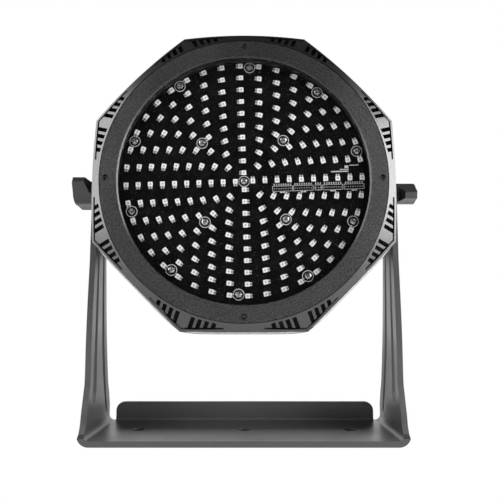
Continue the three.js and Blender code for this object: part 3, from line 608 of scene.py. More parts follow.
def build_yoke():
    yoke = combined(yoke_strip(), yoke_side_mask(), "INTERSECT")
    combined(yoke, rear_lip(), "UNION")
    combined(yoke, lip_fold(), "UNION")
    cut(yoke, *arm_slots())
    holes = [(side * CLAMP_HOLE_PITCH, 0) for side in (-1, 0, 1)]
    cut(yoke, *[rod("hole", CLAMP_HOLE_RADIUS, -1, PLATE + 1, "z", centre, 48, ROW) for centre in holes])
    reach = ARM_OUTER_X + 1
    cut(yoke, rod("hole", ARM_BORE_RADIUS, -reach, reach, "x", (0, PIVOT_Z), 32, ROW))
    rounded(yoke, 0.55, 2, 35)
    dressed(yoke, YOKE_COAT, "yoke")
    # A thin dark rubber sleeve inside each clamp hole stands in for the shade on the hole's wall: painted
    # shade.
    inner, outer = CLAMP_HOLE_RADIUS - 0.6, CLAMP_HOLE_RADIUS - 0.05
    profile = [(outer, 0.3), (outer, PLATE - 0.4), (inner, PLATE - 0.4), (inner, 0.3)]
    for i, centre in enumerate(holes):
        hole_shade_sleeve = lathe(f"clamp_hole_painted_shade_{i + 1}", profile, 48, "z", ROW, centre, closed=True)
        dressed(smoothed(hole_shade_sleeve), RUBBER, "yoke")


# ---------------------------------------------------------------- front cover

VENT_WIDTH = 4.2
VENT_PITCH = 7.1
VENT_FIRST = 8.0
VENTS_PER_FLANK = 4
GROOVE_INSET = 3.1
GROOVE_WIDTH = 1.8
GROOVE_DEPTH = 2.3
GROOVE_REACH = 19.5  # the grooves end this far from the middle of each side


def cone(behind, back):
    """The cover's sloping face, or a surface some way behind it, as a solid that ends at `back`."""
    inner = BEZEL_OUTER + GAP
    outer = inner + CONE_REACH
    front = COVER_FRONT + behind - (LAND_RADIUS - inner) * CONE_SLOPE
    profile = [(0, front), (inner, front), (outer, front + CONE_REACH * CONE_SLOPE), (outer, back), (0, back)]
    return lathe("cone", profile, 256)


def cover_vents():
    inner_radius = LAND_RADIUS + 0.8
    wall_inside = COVER_HALF - GROOVE_INSET
    fans = []
    for corner in range(8):
        turn = turned_about_beam((corner + 0.5) * 2 * CORNER)
        vents = []
        for flank in (-1, 1):
            for i in range(VENTS_PER_FLANK):
                offset = VENT_FIRST + i * VENT_PITCH
                start = math.sqrt(inner_radius**2 - offset**2)
                end = (wall_inside - offset * math.sin(CORNER)) / math.cos(CORNER)
                middle = flank * offset
                low = (start, COVER_FRONT - 3, middle - VENT_WIDTH / 2)
                high = (end, COVER_BACK + 2, middle + VENT_WIDTH / 2)
                vents.append(box("vent", low, high, HEAD @ turn))
        fans.append(joined("vents", vents))
    return fans


def cover_grooves(first_side):
    """Thin grooves near the edge of every second side, open in the middle. They follow the fall of the face."""
    grooves = []
    side_half = COVER_HALF * math.tan(CORNER)
    across = COVER_HALF - GROOVE_INSET
    for side in range(first_side, 8, 2):
        turn = turned_about_beam(side * 2 * CORNER)
        for flank in (-1, 1):
            ends = (GROOVE_REACH, side_half - 1.0)
            radii = [math.hypot(across, along) for along in ends]
            depths = [COVER_FRONT + CONE_SLOPE * (radius - LAND_RADIUS) + GROOVE_DEPTH for radius in radii]
            outline = [
                (ends[0] * flank, depths[0]),
                (ends[1] * flank, depths[1]),
                (ends[1] * flank, COVER_FRONT - 4),
                (ends[0] * flank, COVER_FRONT - 4),
            ]
            low, high = across - GROOVE_WIDTH / 2, across + GROOVE_WIDTH / 2
            swapped = [(y, z) for z, y in outline]
            grooves.append(prism("groove", swapped, low, high, "x", HEAD @ turn))
    return grooves


def build_front_cover():
    seat = BEZEL_OUTER + GAP
    seat_back = BEZEL_BACK + GAP
    cover = prism("front_cover_finished", octagon(COVER_HALF), COVER_FRONT - 2, COVER_BACK, "y")
    combined(cover, cone(0, COVER_BACK + 1), "INTERSECT")
    hollow = prism("hollow", octagon(COVER_HALF - COVER_WALL), COVER_FRONT - 2, COVER_BACK + 1, "y")
    combined(hollow, cone(COVER_FACE, COVER_BACK + 2), "INTERSECT")
    cut(cover, hollow)
    wall = [
        (seat - 20, seat_back),
        (seat - 0.5, seat_back),
        (seat - 0.5, COVER_FRONT + 1),
        (LAND_RADIUS, COVER_FRONT + 1),
        (LAND_RADIUS, seat_back + 3),
        (seat - 20, seat_back + 3),
    ]
    combined(cover, lathe("wall", wall, 256, closed=True), "UNION")
    bore = [
        (0, COVER_FRONT - 2),
        (seat, COVER_FRONT - 2),
        (seat, seat_back),
        (BEZEL_OPENING + 0.6, seat_back),
        (BEZEL_OPENING + 0.6, COVER_BACK + 2),
        (0, COVER_BACK + 2),
    ]
    cut(cover, lathe("bore", bore, 256))
    for tool in cover_vents():
        cut(tidied(cover), tool)
    for first_side in (0, 1):
        cut(tidied(cover), *cover_grooves(first_side))
    tidied(cover)
    rounded(cover, 0.3, 2, 40)
    dressed(cover, COVER_COAT)


# ---------------------------------------------------------------- bezel, window, gasket


def bezel_screw_places():
    return {"right": (1, 0), "top": (0, 1), "left": (-1, 0), "bottom": (0, -1)}


BEZEL_FALL = 0.9  # the bezel's face is slightly crowned: its outer edge lies this far behind the inner one


def build_bezel():
    outer_face = BEZEL_FRONT + BEZEL_FALL
    flange_back = BEZEL_FRONT + 4
    inner = WINDOW_RADIUS + GAP
    profile = [
        (BEZEL_OPENING, BEZEL_FRONT + 0.5),
        (BEZEL_OPENING + 0.4, BEZEL_FRONT + 0.1),
        (BEZEL_OUTER - 0.4, outer_face),
        (BEZEL_OUTER, outer_face + 0.4),
        (BEZEL_OUTER, BEZEL_BACK),
        (inner, BEZEL_BACK),
        (inner, flange_back),
        (BEZEL_OPENING, flange_back),
    ]
    bezel = lathe("bezel_ring_finished", profile, 256, closed=True)
    tools = []
    for x, z in bezel_screw_places().values():
        centre = (x * BEZEL_SCREW_CIRCLE, z * BEZEL_SCREW_CIRCLE)
        ledge = BEZEL_FRONT + 4.5
        steps = [(0, BEZEL_FRONT - 1), (3.3, BEZEL_FRONT - 1), (3.1, outer_face), (2.9, BEZEL_FRONT + 1.1)]
        steps += [(2.9, ledge), (1.8, ledge), (1.8, BEZEL_BACK + 1), (0, BEZEL_BACK + 1)]
        tools.append(lathe("hole", steps, 32, centre=centre))
    cut(bezel, *tools)
    rounded(bezel, 0.15, 2, 30)
    dressed(bezel, BEZEL_COAT)


def build_bezel_screws():
    for side, (x, z) in bezel_screw_places().items():
        centre = (x * BEZEL_SCREW_CIRCLE, z * BEZEL_SCREW_CIRCLE)
        front = BEZEL_FRONT + 1.7
        back = front + 2.5
        profile = [(0, front), (2.2, front), (2.6, front + 0.5), (2.6, back)]
        profile += [(1.5, back), (1.5, BEZEL_BACK + 3), (0, BEZEL_BACK + 3)]
        screw = lathe(f"bezel_screw_{side}_finished", profile, 32, centre=centre)
        cut(screw, rod("socket", 1.45, front - 1, front + 1.5, "y", centre, 6))
        rounded(screw, 0.12)
        dressed(screw, SCREW_BLACK)


def build_window_trim_and_edge_highlight():
    """A dark band inside the bezel's opening, and a thin pale ring round the front edge of the housing that is
    a painted highlight on that edge.
    """
    back = BEZEL_FRONT + 3.9
    outer, width = BEZEL_OPENING - 0.1, 0.9
    front = BEZEL_FRONT + 0.7
    profile = [(outer, front), (outer, back), (outer - width, back), (outer - width, front + width)]
    ring = smoothed(lathe("window_trim", profile, 256, closed=True))
    dressed(ring, DARK_TRIM)
    # The pale ring is a paper-thin sheet on the housing's front edge: a painted highlight.
    front = HOUSING_FRONT - 0.1
    edge = COVER_HALF - 0.4
    outline = octagon(edge, SIDE_BOW, 24)
    rim = prism("housing_edge_highlight", outline, front, front + 0.05, "y")
    cut(rim, prism("space", octagon(COVER_HALF - 2, SIDE_BOW, 24), front - 1, front + 1, "y"))
    dressed(smoothed(rim), EDGE_HIGHLIGHT_PAINT)


def build_window():
    front, back = window_low.y, window_high.y
    edge = [(0, front), (WINDOW_RADIUS - 0.5, front), (WINDOW_RADIUS, front + 0.5)]
    edge += [(WINDOW_RADIUS, back - 0.5), (WINDOW_RADIUS - 0.5, back), (0, back)]
    window = smoothed(lathe("front_window_finished", edge, 128))
    dressed(window, CLEAR)
    low, high = gasket_low.y, gasket_high.y
    inner, outer = BEZEL_OPENING + 1.2, WINDOW_RADIUS
    lip = (low + high) / 2
    profile = [(inner + 1, low), (outer, low), (outer, high), (inner, high)]
    profile += [(inner, lip), (inner + 0.4, lip - 0.8)]
    gasket = lathe("window_gasket_finished", profile, 128, closed=True)
    rounded(gasket, 0.25)
    dressed(gasket, RUBBER)


# ---------------------------------------------------------------- LED board

LED_HALF = 2.3
LED_HEIGHT = 1.6
LED_BOWL_RADIUS = 1.5
SCREW_RINGS = ((0, 1, 0), (59, 4, 45.1), (120, 10, 13.5))  # radius, count, first angle in degrees
ROW_SPREAD = 0.00024  # how much wider the board's rows are set for each millimetre above its middle


def spread(x, z):
    scale = 1 + ROW_SPREAD * z
    return x * scale, z * scale


def board_screw_places():
    places = []
    for radius, count, start in SCREW_RINGS:
        for i in range(count):
            angle = BOARD_TURN + math.radians(start + 360 * i / count)
            places.append(spread(radius * math.cos(angle), radius * math.sin(angle)))
    return places


def led_places():
    """(radius, angle) of every LED: ring k carries 4k of them, one always on the board's own x axis."""
    for ring in range(1, LED_RINGS + 1):
        radius = LED_FIRST_RADIUS + (ring - 1) * LED_RING_PITCH
        for i in range(4 * ring):
            turn = BOARD_TURN + 2 * math.pi * i / (4 * ring)
            x, z = spread(radius * math.cos(turn), radius * math.sin(turn))
            yield math.hypot(x, z), math.atan2(z, x)


class BoardMesh:
    """One mesh of many small shapes that stand on the board, each drawn in (radial, tangential)."""

    def __init__(self):
        self.vertices, self.faces = [], []

    def stack(self, radius, angle, rings, capped=True):
        """Joins rings of (radial, tangential, height) points, all of one length, from the board outwards."""
        count, first = len(rings[0]), len(self.vertices)
        cosine, sine = math.cos(angle), math.sin(angle)
        for ring in rings:
            for radial, tangential, height in ring:
                out = radius + radial
                x, z = out * cosine - tangential * sine, out * sine + tangential * cosine
                self.vertices.append((x, BOARD_FRONT - height, z))
        for level in range(len(rings) - 1):
            for i in range(count):
                a, b = first + level * count + i, first + level * count + (i + 1) % count
                self.faces.append((a, b, b + count, a + count))
        if capped:
            last = first + (len(rings) - 1) * count
            self.faces.append(tuple(range(last, last + count)))
            self.faces.append(tuple(range(first + count - 1, first - 1, -1)))

    def block(self, radius, angle, centre, half, top, chamfer=0.06):
        """A small box with a chamfered top."""
        rings = []
        for shrink, height in ((0, 0.0), (0, top - chamfer), (chamfer, top)):
            u, v = half[0] - shrink, half[1] - shrink
            corners = ((u, v), (-u, v), (-u, -v), (u, -v))
            rings.append([(centre[0] + a, centre[1] + b, height) for a, b in corners])
        self.stack(radius, angle, rings)

    def ring(self, centre_radius, angle, inner, outer, top, steps=40):
        section = ((outer, 0), (outer, top), (inner, top), (inner, 0), (outer, 0))
        rings = [round_ring(radius, height, steps, 0) for radius, height in section]
        self.stack(centre_radius, angle, rings, capped=False)

    def made(self, name, material, slot, smooth=40):
        piece = new_object(name, self.vertices, self.faces)
        bm = bmesh.new()
        bm.from_mesh(piece.data)
        bmesh.ops.remove_doubles(bm, verts=bm.verts, dist=1e-7)
        bmesh.ops.recalc_face_normals(bm, faces=bm.faces)
        bm.to_mesh(piece.data)
        bm.free()
        smoothed(piece, smooth)
        return dressed(piece, material)


def square_ring(half, height, per_side=3):
    """Points of a square, spaced so that they pair with those of a circle."""
    points = []
    for i in range(4 * per_side):
        angle = math.pi / 4 + 2 * math.pi * i / (4 * per_side)
        longest = max(abs(math.cos(angle)), abs(math.sin(angle)))
        points.append((half * math.cos(angle) / longest, half * math.sin(angle) / longest, height))
    return points


def round_ring(radius, height, count=12, start=math.pi / 4):
    turns = [start + 2 * math.pi * i / count for i in range(count)]
    return [(radius * math.cos(t), radius * math.sin(t), height) for t in turns]


def build_leds():
    packages, cores, pads = BoardMesh(), BoardMesh(), BoardMesh()
    chips, chip_ends = BoardMesh(), BoardMesh()
    shell = [
        square_ring(LED_HALF, 0.0),
        square_ring(LED_HALF, LED_HEIGHT - 0.25),
        square_ring(LED_HALF - 0.12, LED_HEIGHT),
        round_ring(LED_BOWL_RADIUS, LED_HEIGHT),
        round_ring(LED_BOWL_RADIUS - 0.25, LED_HEIGHT - 0.45),
    ]
    dome = [
        round_ring(LED_BOWL_RADIUS - 0.2, LED_HEIGHT - 0.4),
        round_ring(LED_BOWL_RADIUS - 0.22, LED_HEIGHT - 0.25),
        round_ring(0.8, LED_HEIGHT - 0.16),
    ]
    for radius, angle in led_places():
        packages.stack(radius, angle, shell)
        cores.stack(radius, angle, dome)
        for side in (-1, 1):
            for step in (-1.6, 0, 1.6):
                pads.block(radius, angle, (step, side * (LED_HALF + 0.1)), (0.45, 0.3), 0.45)
            chip_ends.block(radius, angle, (side * 1.2, 3.75), (0.62, 0.95), 0.62)
        chips.block(radius, angle, (0, 3.75), (0.58, 0.88), 0.55)
    packages.made("led_packages", LED_WHITE, "solder_mask")
    cores.made("led_cores", LED_CORE, "solder_mask")
    pads.made("led_pads", TIN, "solder_mask")
    chips.made("board_chips", CHIP_BLACK, "solder_mask")
    chip_ends.made("board_chip_ends", TIN, "solder_mask")


CONNECTOR_ROW = -8.9  # how far below the board's own x axis the connector outlines lie
CONNECTORS = ((39.3, 8, 10.2), (60.6, 8, 10.3), (76.0, 3, 3.2), (91.0, 8, 10.2), (112.9, 8, 10.2))
PIN_PITCH = 2.4
TRACK_STEPS = (
    (99.0, 7.3, 9.0, 0.6),
    (103.7, 9.3, 4.6, 0.5),
    (106.2, 12.0, 2.0, 1.5),
    (114.0, 13.6, 4.8, 0.5),
)  # bare tracks beside the connectors: across, up, and half of each size


def build_board_marks():
    """Silk-screened keep-out rings and connector outlines, with the connectors' pin tops."""
    silk, pins = BoardMesh(), BoardMesh()
    for x, z in board_screw_places():
        radius, angle = math.hypot(x, z), math.atan2(z, x)
        silk.ring(radius, angle, 5.1, 5.85, 0.06)
    for centre, count, half_length in CONNECTORS:
        for side in (-1, 1):
            silk.block(0, BOARD_TURN, (centre, CONNECTOR_ROW + side * 2.7), (half_length, 0.22), 0.06, 0.02)
            silk.block(0, BOARD_TURN, (centre + side * half_length, CONNECTOR_ROW), (0.22, 2.5), 0.06, 0.02)
        for i in range(count):
            along = centre + (i - (count - 1) / 2) * PIN_PITCH
            pins.block(0, BOARD_TURN, (along, CONNECTOR_ROW + 4.3), (0.42, 0.9), 0.3)
            pins.block(0, BOARD_TURN, (along, CONNECTOR_ROW), (0.35, 0.45), 0.3)
        if count > 3:
            for side in (-1, 1):
                pins.block(0, BOARD_TURN, (centre + side * 1.5, CONNECTOR_ROW - 3.9), (1.2, 0.6), 0.3)
    for across, up, half_across, half_up in TRACK_STEPS:
        silk.block(0, BOARD_TURN, (across, up), (half_across, half_up), 0.08, 0.02)
    silk.made("board_silk", SILK, "solder_mask")
    pins.made("board_pins", TIN, "solder_mask")


def build_board():
    board = rod("led_board_finished", BOARD_RADIUS, BOARD_FRONT, BOARD_BACK, "y", steps=256)
    low, high = BOARD_FRONT - 2, BOARD_BACK + 2
    cut(board, *[rod("hole", 1.8, low, high, "y", place, 20) for place in board_screw_places()])
    smoothed(board)
    dressed(board, BOARD_MASK)


def pan_head(name, centre, seat, sign, radius=3.5, height=2.4, shank=5.5):
    """A pan-head screw with a cross recess. sign is -1 when the head faces the front."""
    top = seat + sign * height
    low, high = seat + sign * height * 0.42, seat + sign * height * 0.85
    profile = [(0, top), (radius * 0.55, top), (radius * 0.86, high), (radius, low), (radius, seat)]
    profile += [(1.5, seat), (1.5, seat - sign * shank), (0, seat - sign * shank)]
    screw = lathe(name, profile, 32, centre=centre)
    depth = sorted((top + sign, top - sign * height * 0.6))
    for u, v in ((radius * 0.56, radius * 0.13), (radius * 0.13, radius * 0.56)):
        low_corner = (centre[0] - u, depth[0], centre[1] - v)
        high_corner = (centre[0] + u, depth[1], centre[1] + v)
        cut(screw, box("recess", low_corner, high_corner))
    return rounded(screw, 0.1, 1, 45)


def build_board_screws():
    for i, centre in enumerate(board_screw_places()):
        screw = pan_head(f"board_screw_{i + 1:02d}_finished", centre, BOARD_FRONT - GAP, -1)
        dressed(screw, BLACK_STEEL)


# ---------------------------------------------------------------- housing


def build_housing():
    inner = COVER_HALF - 2.2
    shell = prism("housing_shell_finished", octagon(COVER_HALF, SIDE_BOW, 24), HOUSING_FRONT, HOUSING_BACK, "y")
    cut(shell, prism("space", octagon(inner, SIDE_BOW, 24), HOUSING_FRONT - 1, HOUSING_BACK + 1, "y"))
    reach = ARM_INNER_X
    cut(shell, rod("hole", 9.4, -reach, reach, "x", (0, -HEAD_RISE), 48))
    rounded(shell, 0.5, 2, 15)
    dressed(shell, SHELL_COAT)


# ---------------------------------------------------------------- rear cover and what stands on it

FAN_Z = 45.0
FAN_SIZE = 92.0
FAN_BORE = 42.5
FAN_DEPTH = 25
BLADES = 7
GUARD_RADIUS = 43.5
POST_X, POST_Z = 92.0, 58.0
SOCKETS = {"power_inlet": 58.0, "power_outlet": 29.0, "signal_inlet": -29.0, "signal_outlet": -58.0}
SOCKET_Z = -79.0
FUSE_X = 0.0
BUTTON_Z = -52.0
BUTTON_PITCH = 17.0
DISPLAY_Z = -28.0
DISPLAY_SIZE = (40.0, 20.0)


def button_places():
    names = ("menu", "down", "up", "enter")
    return {name: -(i - 1.5) * BUTTON_PITCH for i, name in enumerate(names)}


def slope_vents():
    vents = []
    for side in (0, 1, 3, 4, 5, 7):
        turn = turned_about_beam(side * 2 * CORNER)
        for step in (-1, 0, 1):
            x, y = 135.5 + step * 10, 44 - step * 6
            outline = [*arc((0, 28.5), 2.5, 0, 180, 10), *arc((0, -28.5), 2.5, 180, 360, 10)]
            shifted = [(x + u, v) for u, v in outline]
            vents.append(prism("vent", shifted, y - 10, y + 10, "y", HEAD @ turn))
    return vents


def build_rear_cover():
    half = COVER_HALF
    cover = eight_sided(
        "rear_cover_finished",
        [
            (0, REAR_FACE),
            (REAR_FLAT_HALF, REAR_FACE),
            (half, REAR_RIM + 4),
            (half, REAR_RIM),
            (half - REAR_WALL, REAR_RIM),
            (half - REAR_WALL, REAR_RIM + 3),
            (REAR_FLAT_HALF - 1, REAR_INSIDE),
            (0, REAR_INSIDE),
        ],
    )
    low, high = REAR_INSIDE - 2, REAR_FACE + 1
    width, height = DISPLAY_SIZE
    tools = [
        rod("fan", FAN_BORE, low, high, "y", (0, FAN_Z), 96),
        rod("fuse", 7.1, low, high, "y", (FUSE_X, SOCKET_Z), 32),
        box("display", (-width / 2, low, DISPLAY_Z - height / 2), (width / 2, high, DISPLAY_Z + height / 2)),
    ]
    tools += [rod("button", 4.8, low, high, "y", (x, BUTTON_Z), 32) for x in button_places().values()]
    tools += [rod("socket", 10.6, low, high, "y", (x, SOCKET_Z), 40) for x in SOCKETS.values()]
    tools += [rod("screw", 1.8, low, high, "y", (a * POST_X, b * POST_Z), 16) for a in (-1, 1) for b in (-1, 1)]
    cut(cover, *tools)
    cut(cover, *slope_vents())
    rounded(cover, 0.6, 2, 18)
    dressed(cover, SHELL_COAT)


def build_display():
    width, height = DISPLAY_SIZE
    low, high = REAR_INSIDE - 1.5, REAR_FACE + 0.4
    half_width, half_height = width / 2 - GAP, height / 2 - GAP
    pane = box(
        "display_window_finished",
        (-half_width, low, DISPLAY_Z - half_height),
        (half_width, high, DISPLAY_Z + half_height),
    )
    rounded(pane, 0.4, 3)
    dressed(pane, DISPLAY_CLEAR)


def build_buttons():
    for name, x in button_places().items():
        flange = REAR_INSIDE - 3.1
        profile = [(0, flange), (5.8, flange), (5.8, REAR_INSIDE - 0.4), (4.4, REAR_INSIDE - 0.4)]
        profile += [(4.4, REAR_FACE + 2.0), (4.2, REAR_FACE + 2.4), (3.7, REAR_FACE + 2.6)]
        profile += [(2.2, REAR_FACE + 2.45), (0, REAR_FACE + 2.4)]
        button = smoothed(lathe(f"button_{name}_finished", profile, 48, centre=(x, BUTTON_Z)))
        dressed(button, BUTTON_PLASTIC, f"button_{name}")


FLANGE_HALF = 13
FLANGE_HOLE = 10  # from the socket's axis to each hole, across and up
SOCKET_CAVITY = 8.6
POWER_FLOOR = 58.5
SIGNAL_FLOOR = 43.0
SIGNAL_PIN_CIRCLE = 4


def around_socket(x, radius, count=3, start=math.pi / 2):
    """Points spaced evenly on a circle about a socket's axis."""
    turns = [start + 2 * math.pi * i / count for i in range(count)]
    return [(x + radius * math.cos(turn), SOCKET_Z + radius * math.sin(turn)) for turn in turns]


def socket_body(name, x):
    """A socket's flange and barrel, and the tools for the holes at the flange's corners."""
    flange_low = (x - FLANGE_HALF, ON_REAR, SOCKET_Z - FLANGE_HALF)
    flange_high = (x + FLANGE_HALF, ON_REAR + 2, SOCKET_Z + FLANGE_HALF)
    flange = box(f"{name}_finished", flange_low, flange_high)
    combined(flange, rod("body", 10.2, 34, ON_REAR + 1, "y", (x, SOCKET_Z), 64), "UNION")
    corners = [(x + a * FLANGE_HOLE, SOCKET_Z + b * FLANGE_HOLE) for a in (-1, 1) for b in (-1, 1)]
    return flange, [rod("hole", 1.4, ON_REAR + 0.9, ON_REAR + 4, "y", corner, 20) for corner in corners]


def finished_socket(body, holes, material):
    cut(body, *holes)
    dressed(rounded(body, 0.25), material)


def build_power_socket(name, material):
    x = SOCKETS[name]
    centre = (x, SOCKET_Z)
    reach = local_box(name)[1].y - 0.1
    body, holes = socket_body(name, x)
    collar = [(0, ON_REAR + 1), (11.5, ON_REAR + 1), (11.5, reach - 1), (10.9, reach), (0, reach)]
    combined(body, lathe("collar", collar, 64, centre=centre), "UNION")
    for notch in around_socket(x, 11.4):
        cut(body, rod("notch", 1.6, reach - 7, reach + 1, "y", notch, 20))
    cut(body, rod("cavity", SOCKET_CAVITY, POWER_FLOOR, reach + 1, "y", centre, 64))
    finished_socket(body, holes, material)
    low, high = POWER_FLOOR - 0.7, POWER_FLOOR + 3
    for i, (u, v) in enumerate(around_socket(x, 4.6)):
        blade = box(f"{name}_blade_{i + 1}", (u - 0.8, low, v - 1.5), (u + 0.8, high, v + 1.5))
        dressed(rounded(blade, 0.2), TIN)


def build_signal_sockets():
    x = SOCKETS["signal_inlet"]
    body, holes = socket_body("signal_inlet", x)
    cut(body, rod("cavity", SOCKET_CAVITY, SIGNAL_FLOOR, ON_REAR + 4, "y", (x, SOCKET_Z), 64))
    finished_socket(body, holes, BLACK_PLASTIC)
    root, tip = SIGNAL_FLOOR - 0.5, SIGNAL_FLOOR + 8
    profile = [(0, root), (1.2, root), (1.2, tip - 0.8), (0.7, tip), (0, tip)]
    for i, centre in enumerate(around_socket(x, SIGNAL_PIN_CIRCLE)):
        pin = smoothed(lathe(f"signal_pin_{i + 1}", profile, 20, centre=centre))
        dressed(pin, TIN)
    x = SOCKETS["signal_outlet"]
    body, holes = socket_body("signal_outlet", x)
    insert = [(0, ON_REAR), (8.4, ON_REAR), (8.4, ON_REAR + 3.0), (8.0, ON_REAR + 3.4), (0, ON_REAR + 3.4)]
    combined(body, lathe("insert", insert, 64, centre=(x, SOCKET_Z)), "UNION")
    centres = around_socket(x, SIGNAL_PIN_CIRCLE)
    pins = [rod("pin", 1.3, ON_REAR - 6, ON_REAR + 5, "y", centre, 20) for centre in centres]
    finished_socket(body, pins + holes, BLACK_PLASTIC)


def build_fuse():
    centre = (FUSE_X, SOCKET_Z)
    sleeve = [(4.5, 28), (6.8, 28), (6.8, ON_REAR), (9, ON_REAR), (9, ON_REAR + 1.5), (8.4, ON_REAR + 2)]
    sleeve += [(4.5, ON_REAR + 2)]
    holder = lathe("fuse_holder_finished", sleeve, 48, centre=centre, closed=True)
    rounded(holder, 0.2)
    dressed(holder, BLACK_PLASTIC)
    face = ON_REAR + 2 + GAP
    profile = [(0, 40), (4.1, 40), (4.1, face), (6.8, face), (6.8, face + 5), (6.0, face + 6), (0, face + 6)]
    cap = lathe("fuse_cap_finished", profile, 48, centre=centre)
    ridges = around_socket(FUSE_X, 7.1, 16, math.pi / 16)
    cut(cap, *[rod("ridge", 0.7, face + 0.8, face + 7, "y", place, 10) for place in ridges])
    low, high = (FUSE_X - 5, face + 4.6, SOCKET_Z - 0.8), (FUSE_X + 5, face + 7, SOCKET_Z + 0.8)
    cut(cap, box("slot", low, high))
    rounded(cap, 0.15)
    dressed(cap, BLACK_PLASTIC, "fuse_cap")


def build_rear_screws():
    for i, (a, b) in enumerate(((-1, -1), (1, -1), (-1, 1), (1, 1))):
        centre = (a * POST_X, b * POST_Z)
        screw = pan_head(f"rear_screw_{i + 1}_finished", centre, ON_REAR, 1, 3.4, 2.2, 11)
        dressed(screw, BLACK_STEEL)


def build_safety_eye():
    low, high = local_box("safety_eye")
    strap = [
        (ON_REAR, low.z),
        (ON_REAR + 2.5, low.z),
        (ON_REAR + 2.5, low.z + 6.5),
        (ON_REAR + 9.5, low.z + 9),
        (ON_REAR + 9.5, high.z),
        (ON_REAR + 7, high.z),
        (ON_REAR + 7, low.z + 10.8),
        (ON_REAR, low.z + 8.3),
    ]
    eye = prism("safety_eye_finished", strap, low.x, high.x, "x")
    corner = 6.0
    top = high.z - corner
    face_on = [(low.x, low.z - 1), (high.x, low.z - 1)]
    face_on += arc((high.x - corner, top), corner, 0, 90, 8) + arc((low.x + corner, top), corner, 90, 180, 8)
    combined(eye, prism("mask", face_on, ON_REAR - 1, ON_REAR + 12, "y"), "INTERSECT")
    cut(eye, rod("hole", 6, REAR_FACE, ON_REAR + 12, "y", (0, 112), 40))
    rounded(eye, 0.35)
    dressed(eye, PLATED_STEEL)


# ---------------------------------------------------------------- fan


def set_round_fan(part, turn):
    """Turns a part drawn about the beam axis, and moves it to the fan's axis."""
    part.matrix_world = HEAD @ Matrix.Translation((0, 0, FAN_Z * MM)) @ turn
    return part


def torus(name, radius, thickness, y, centre):
    section = arc((radius, y), thickness, 0, 360, 10)[:-1]
    return lathe(name, section, 96, centre=centre, closed=True)


def build_fan_guard():
    centre = (0, FAN_Z)
    middle = ON_REAR + 1
    rings = [torus("ring", radius, 0.95, middle, centre) for radius in (12, 22, 32, GUARD_RADIUS)]
    bars = []
    for i in range(4):
        bar = rod("bar", 0.9, -GUARD_RADIUS, GUARD_RADIUS, "x", (middle, 0), 10)
        bars.append(set_round_fan(bar, turned_about_beam((i + 0.5) * math.pi / 4)))
    guard = rings[0]
    for part in rings[1:] + bars:
        combined(guard, part, "UNION")
    guard.name = "fan_guard_finished"
    smoothed(guard, 60)
    dressed(guard, PLATED_STEEL)


def fan_blade(front):
    """One twisted, cambered blade: a grid of points for each of its two sides, joined round their edge."""
    vertices, faces = [], []
    radial_steps, chord_steps = 8, 8
    for side in (0.7, -0.7):
        for r in range(radial_steps + 1):
            radius = 16.5 + 24.6 * r / radial_steps
            twist = math.radians(46 - 14 * r / radial_steps)
            chord = 19 + 4 * r / radial_steps
            for c in range(chord_steps + 1):
                t = c / chord_steps - 0.5
                camber = 2.2 * (0.25 - t * t) + side * (1 - (2 * t) ** 4) * 0.8
                tangential = chord * t * math.cos(twist) - camber * math.sin(twist)
                along = chord * t * math.sin(twist) + camber * math.cos(twist)
                around = tangential / radius
                vertices.append((radius * math.cos(around), front + 13 + along, radius * math.sin(around)))
    row, layer = chord_steps + 1, (radial_steps + 1) * (chord_steps + 1)
    for r in range(radial_steps):
        for c in range(chord_steps):
            a = r * row + c
            faces.append((a, a + 1, a + row + 1, a + row))
            faces.append((layer + a, layer + a + row, layer + a + row + 1, layer + a + 1))
    edge = list(range(row))
    edge += [r * row + chord_steps for r in range(1, radial_steps + 1)]
    edge += [radial_steps * row + c for c in range(chord_steps - 1, -1, -1)]
    edge += [r * row for r in range(radial_steps - 1, 0, -1)]
    faces += [(a, b, layer + b, layer + a) for a, b in zip(edge, edge[1:] + edge[:1])]
    return vertices, faces


def build_fan_rotor():
    front = REAR_INSIDE - GAP - FAN_DEPTH
    profile = [(0, front + 2.9), (16, front + 2.9), (17, front + 4), (17, front + 21), (15.5, front + 23)]
    profile += [(9, front + 23), (8.6, front + 22.4), (0, front + 22.4)]
    rotor = lathe("fan_rotor_finished", profile, 64, centre=(0, FAN_Z))
    vertices, faces = fan_blade(front)
    for i in range(BLADES):
        blade = new_object("blade", vertices, faces)
        combined(rotor, set_round_fan(blade, turned_about_beam(2 * math.pi * i / BLADES)), "UNION")
    smoothed(rotor, 45)
    dressed(rotor, BLACK_PLASTIC, "fan_rotor")


def build_fan_frame():
    back = REAR_INSIDE - GAP
    front = back - FAN_DEPTH
    half = FAN_SIZE / 2
    corner = half - 5
    outline = []
    for a, b, start in ((1, 1, 0), (-1, 1, 90), (-1, -1, 180), (1, -1, 270)):
        outline += arc((a * corner, FAN_Z + b * corner), 5, start, start + 90, 8)
    shell = prism("fan_frame_finished", outline, front, back, "y")
    bore = [(0, front - 1), (FAN_BORE + 1.2, front - 1), (FAN_BORE, front + 4), (FAN_BORE, back - 4)]
    bore += [(FAN_BORE + 1.2, back + 1), (0, back + 1)]
    cut(shell, lathe("bore", bore, 96, centre=(0, FAN_Z)))
    combined(shell, rod("motor", 16, front, front + 2.4, "y", (0, FAN_Z), 48), "UNION")
    for i in range(4):
        turn = turned_about_beam(i * math.pi / 2 + math.pi / 4)
        strut = box("strut", (15, front, -1.8), (half - 1, front + 2.4, 1.8))
        combined(shell, set_round_fan(strut, turn), "UNION")
    rounded(shell, 0.3)
    dressed(shell, BLACK_PLASTIC)


# ---------------------------------------------------------------- wing knobs and pivots

KNOB_REACH = 25.0
KNOB_HUB = 11.5
KNOB_TIP_HALF = 3.75
KNOB_INNER_X = ARM_OUTER_X + 2.2
KNOB_TURN = {"left": 28.0, "right": -13.0}


def mirrored(points):
    return [(-u, v) for u, v in points]


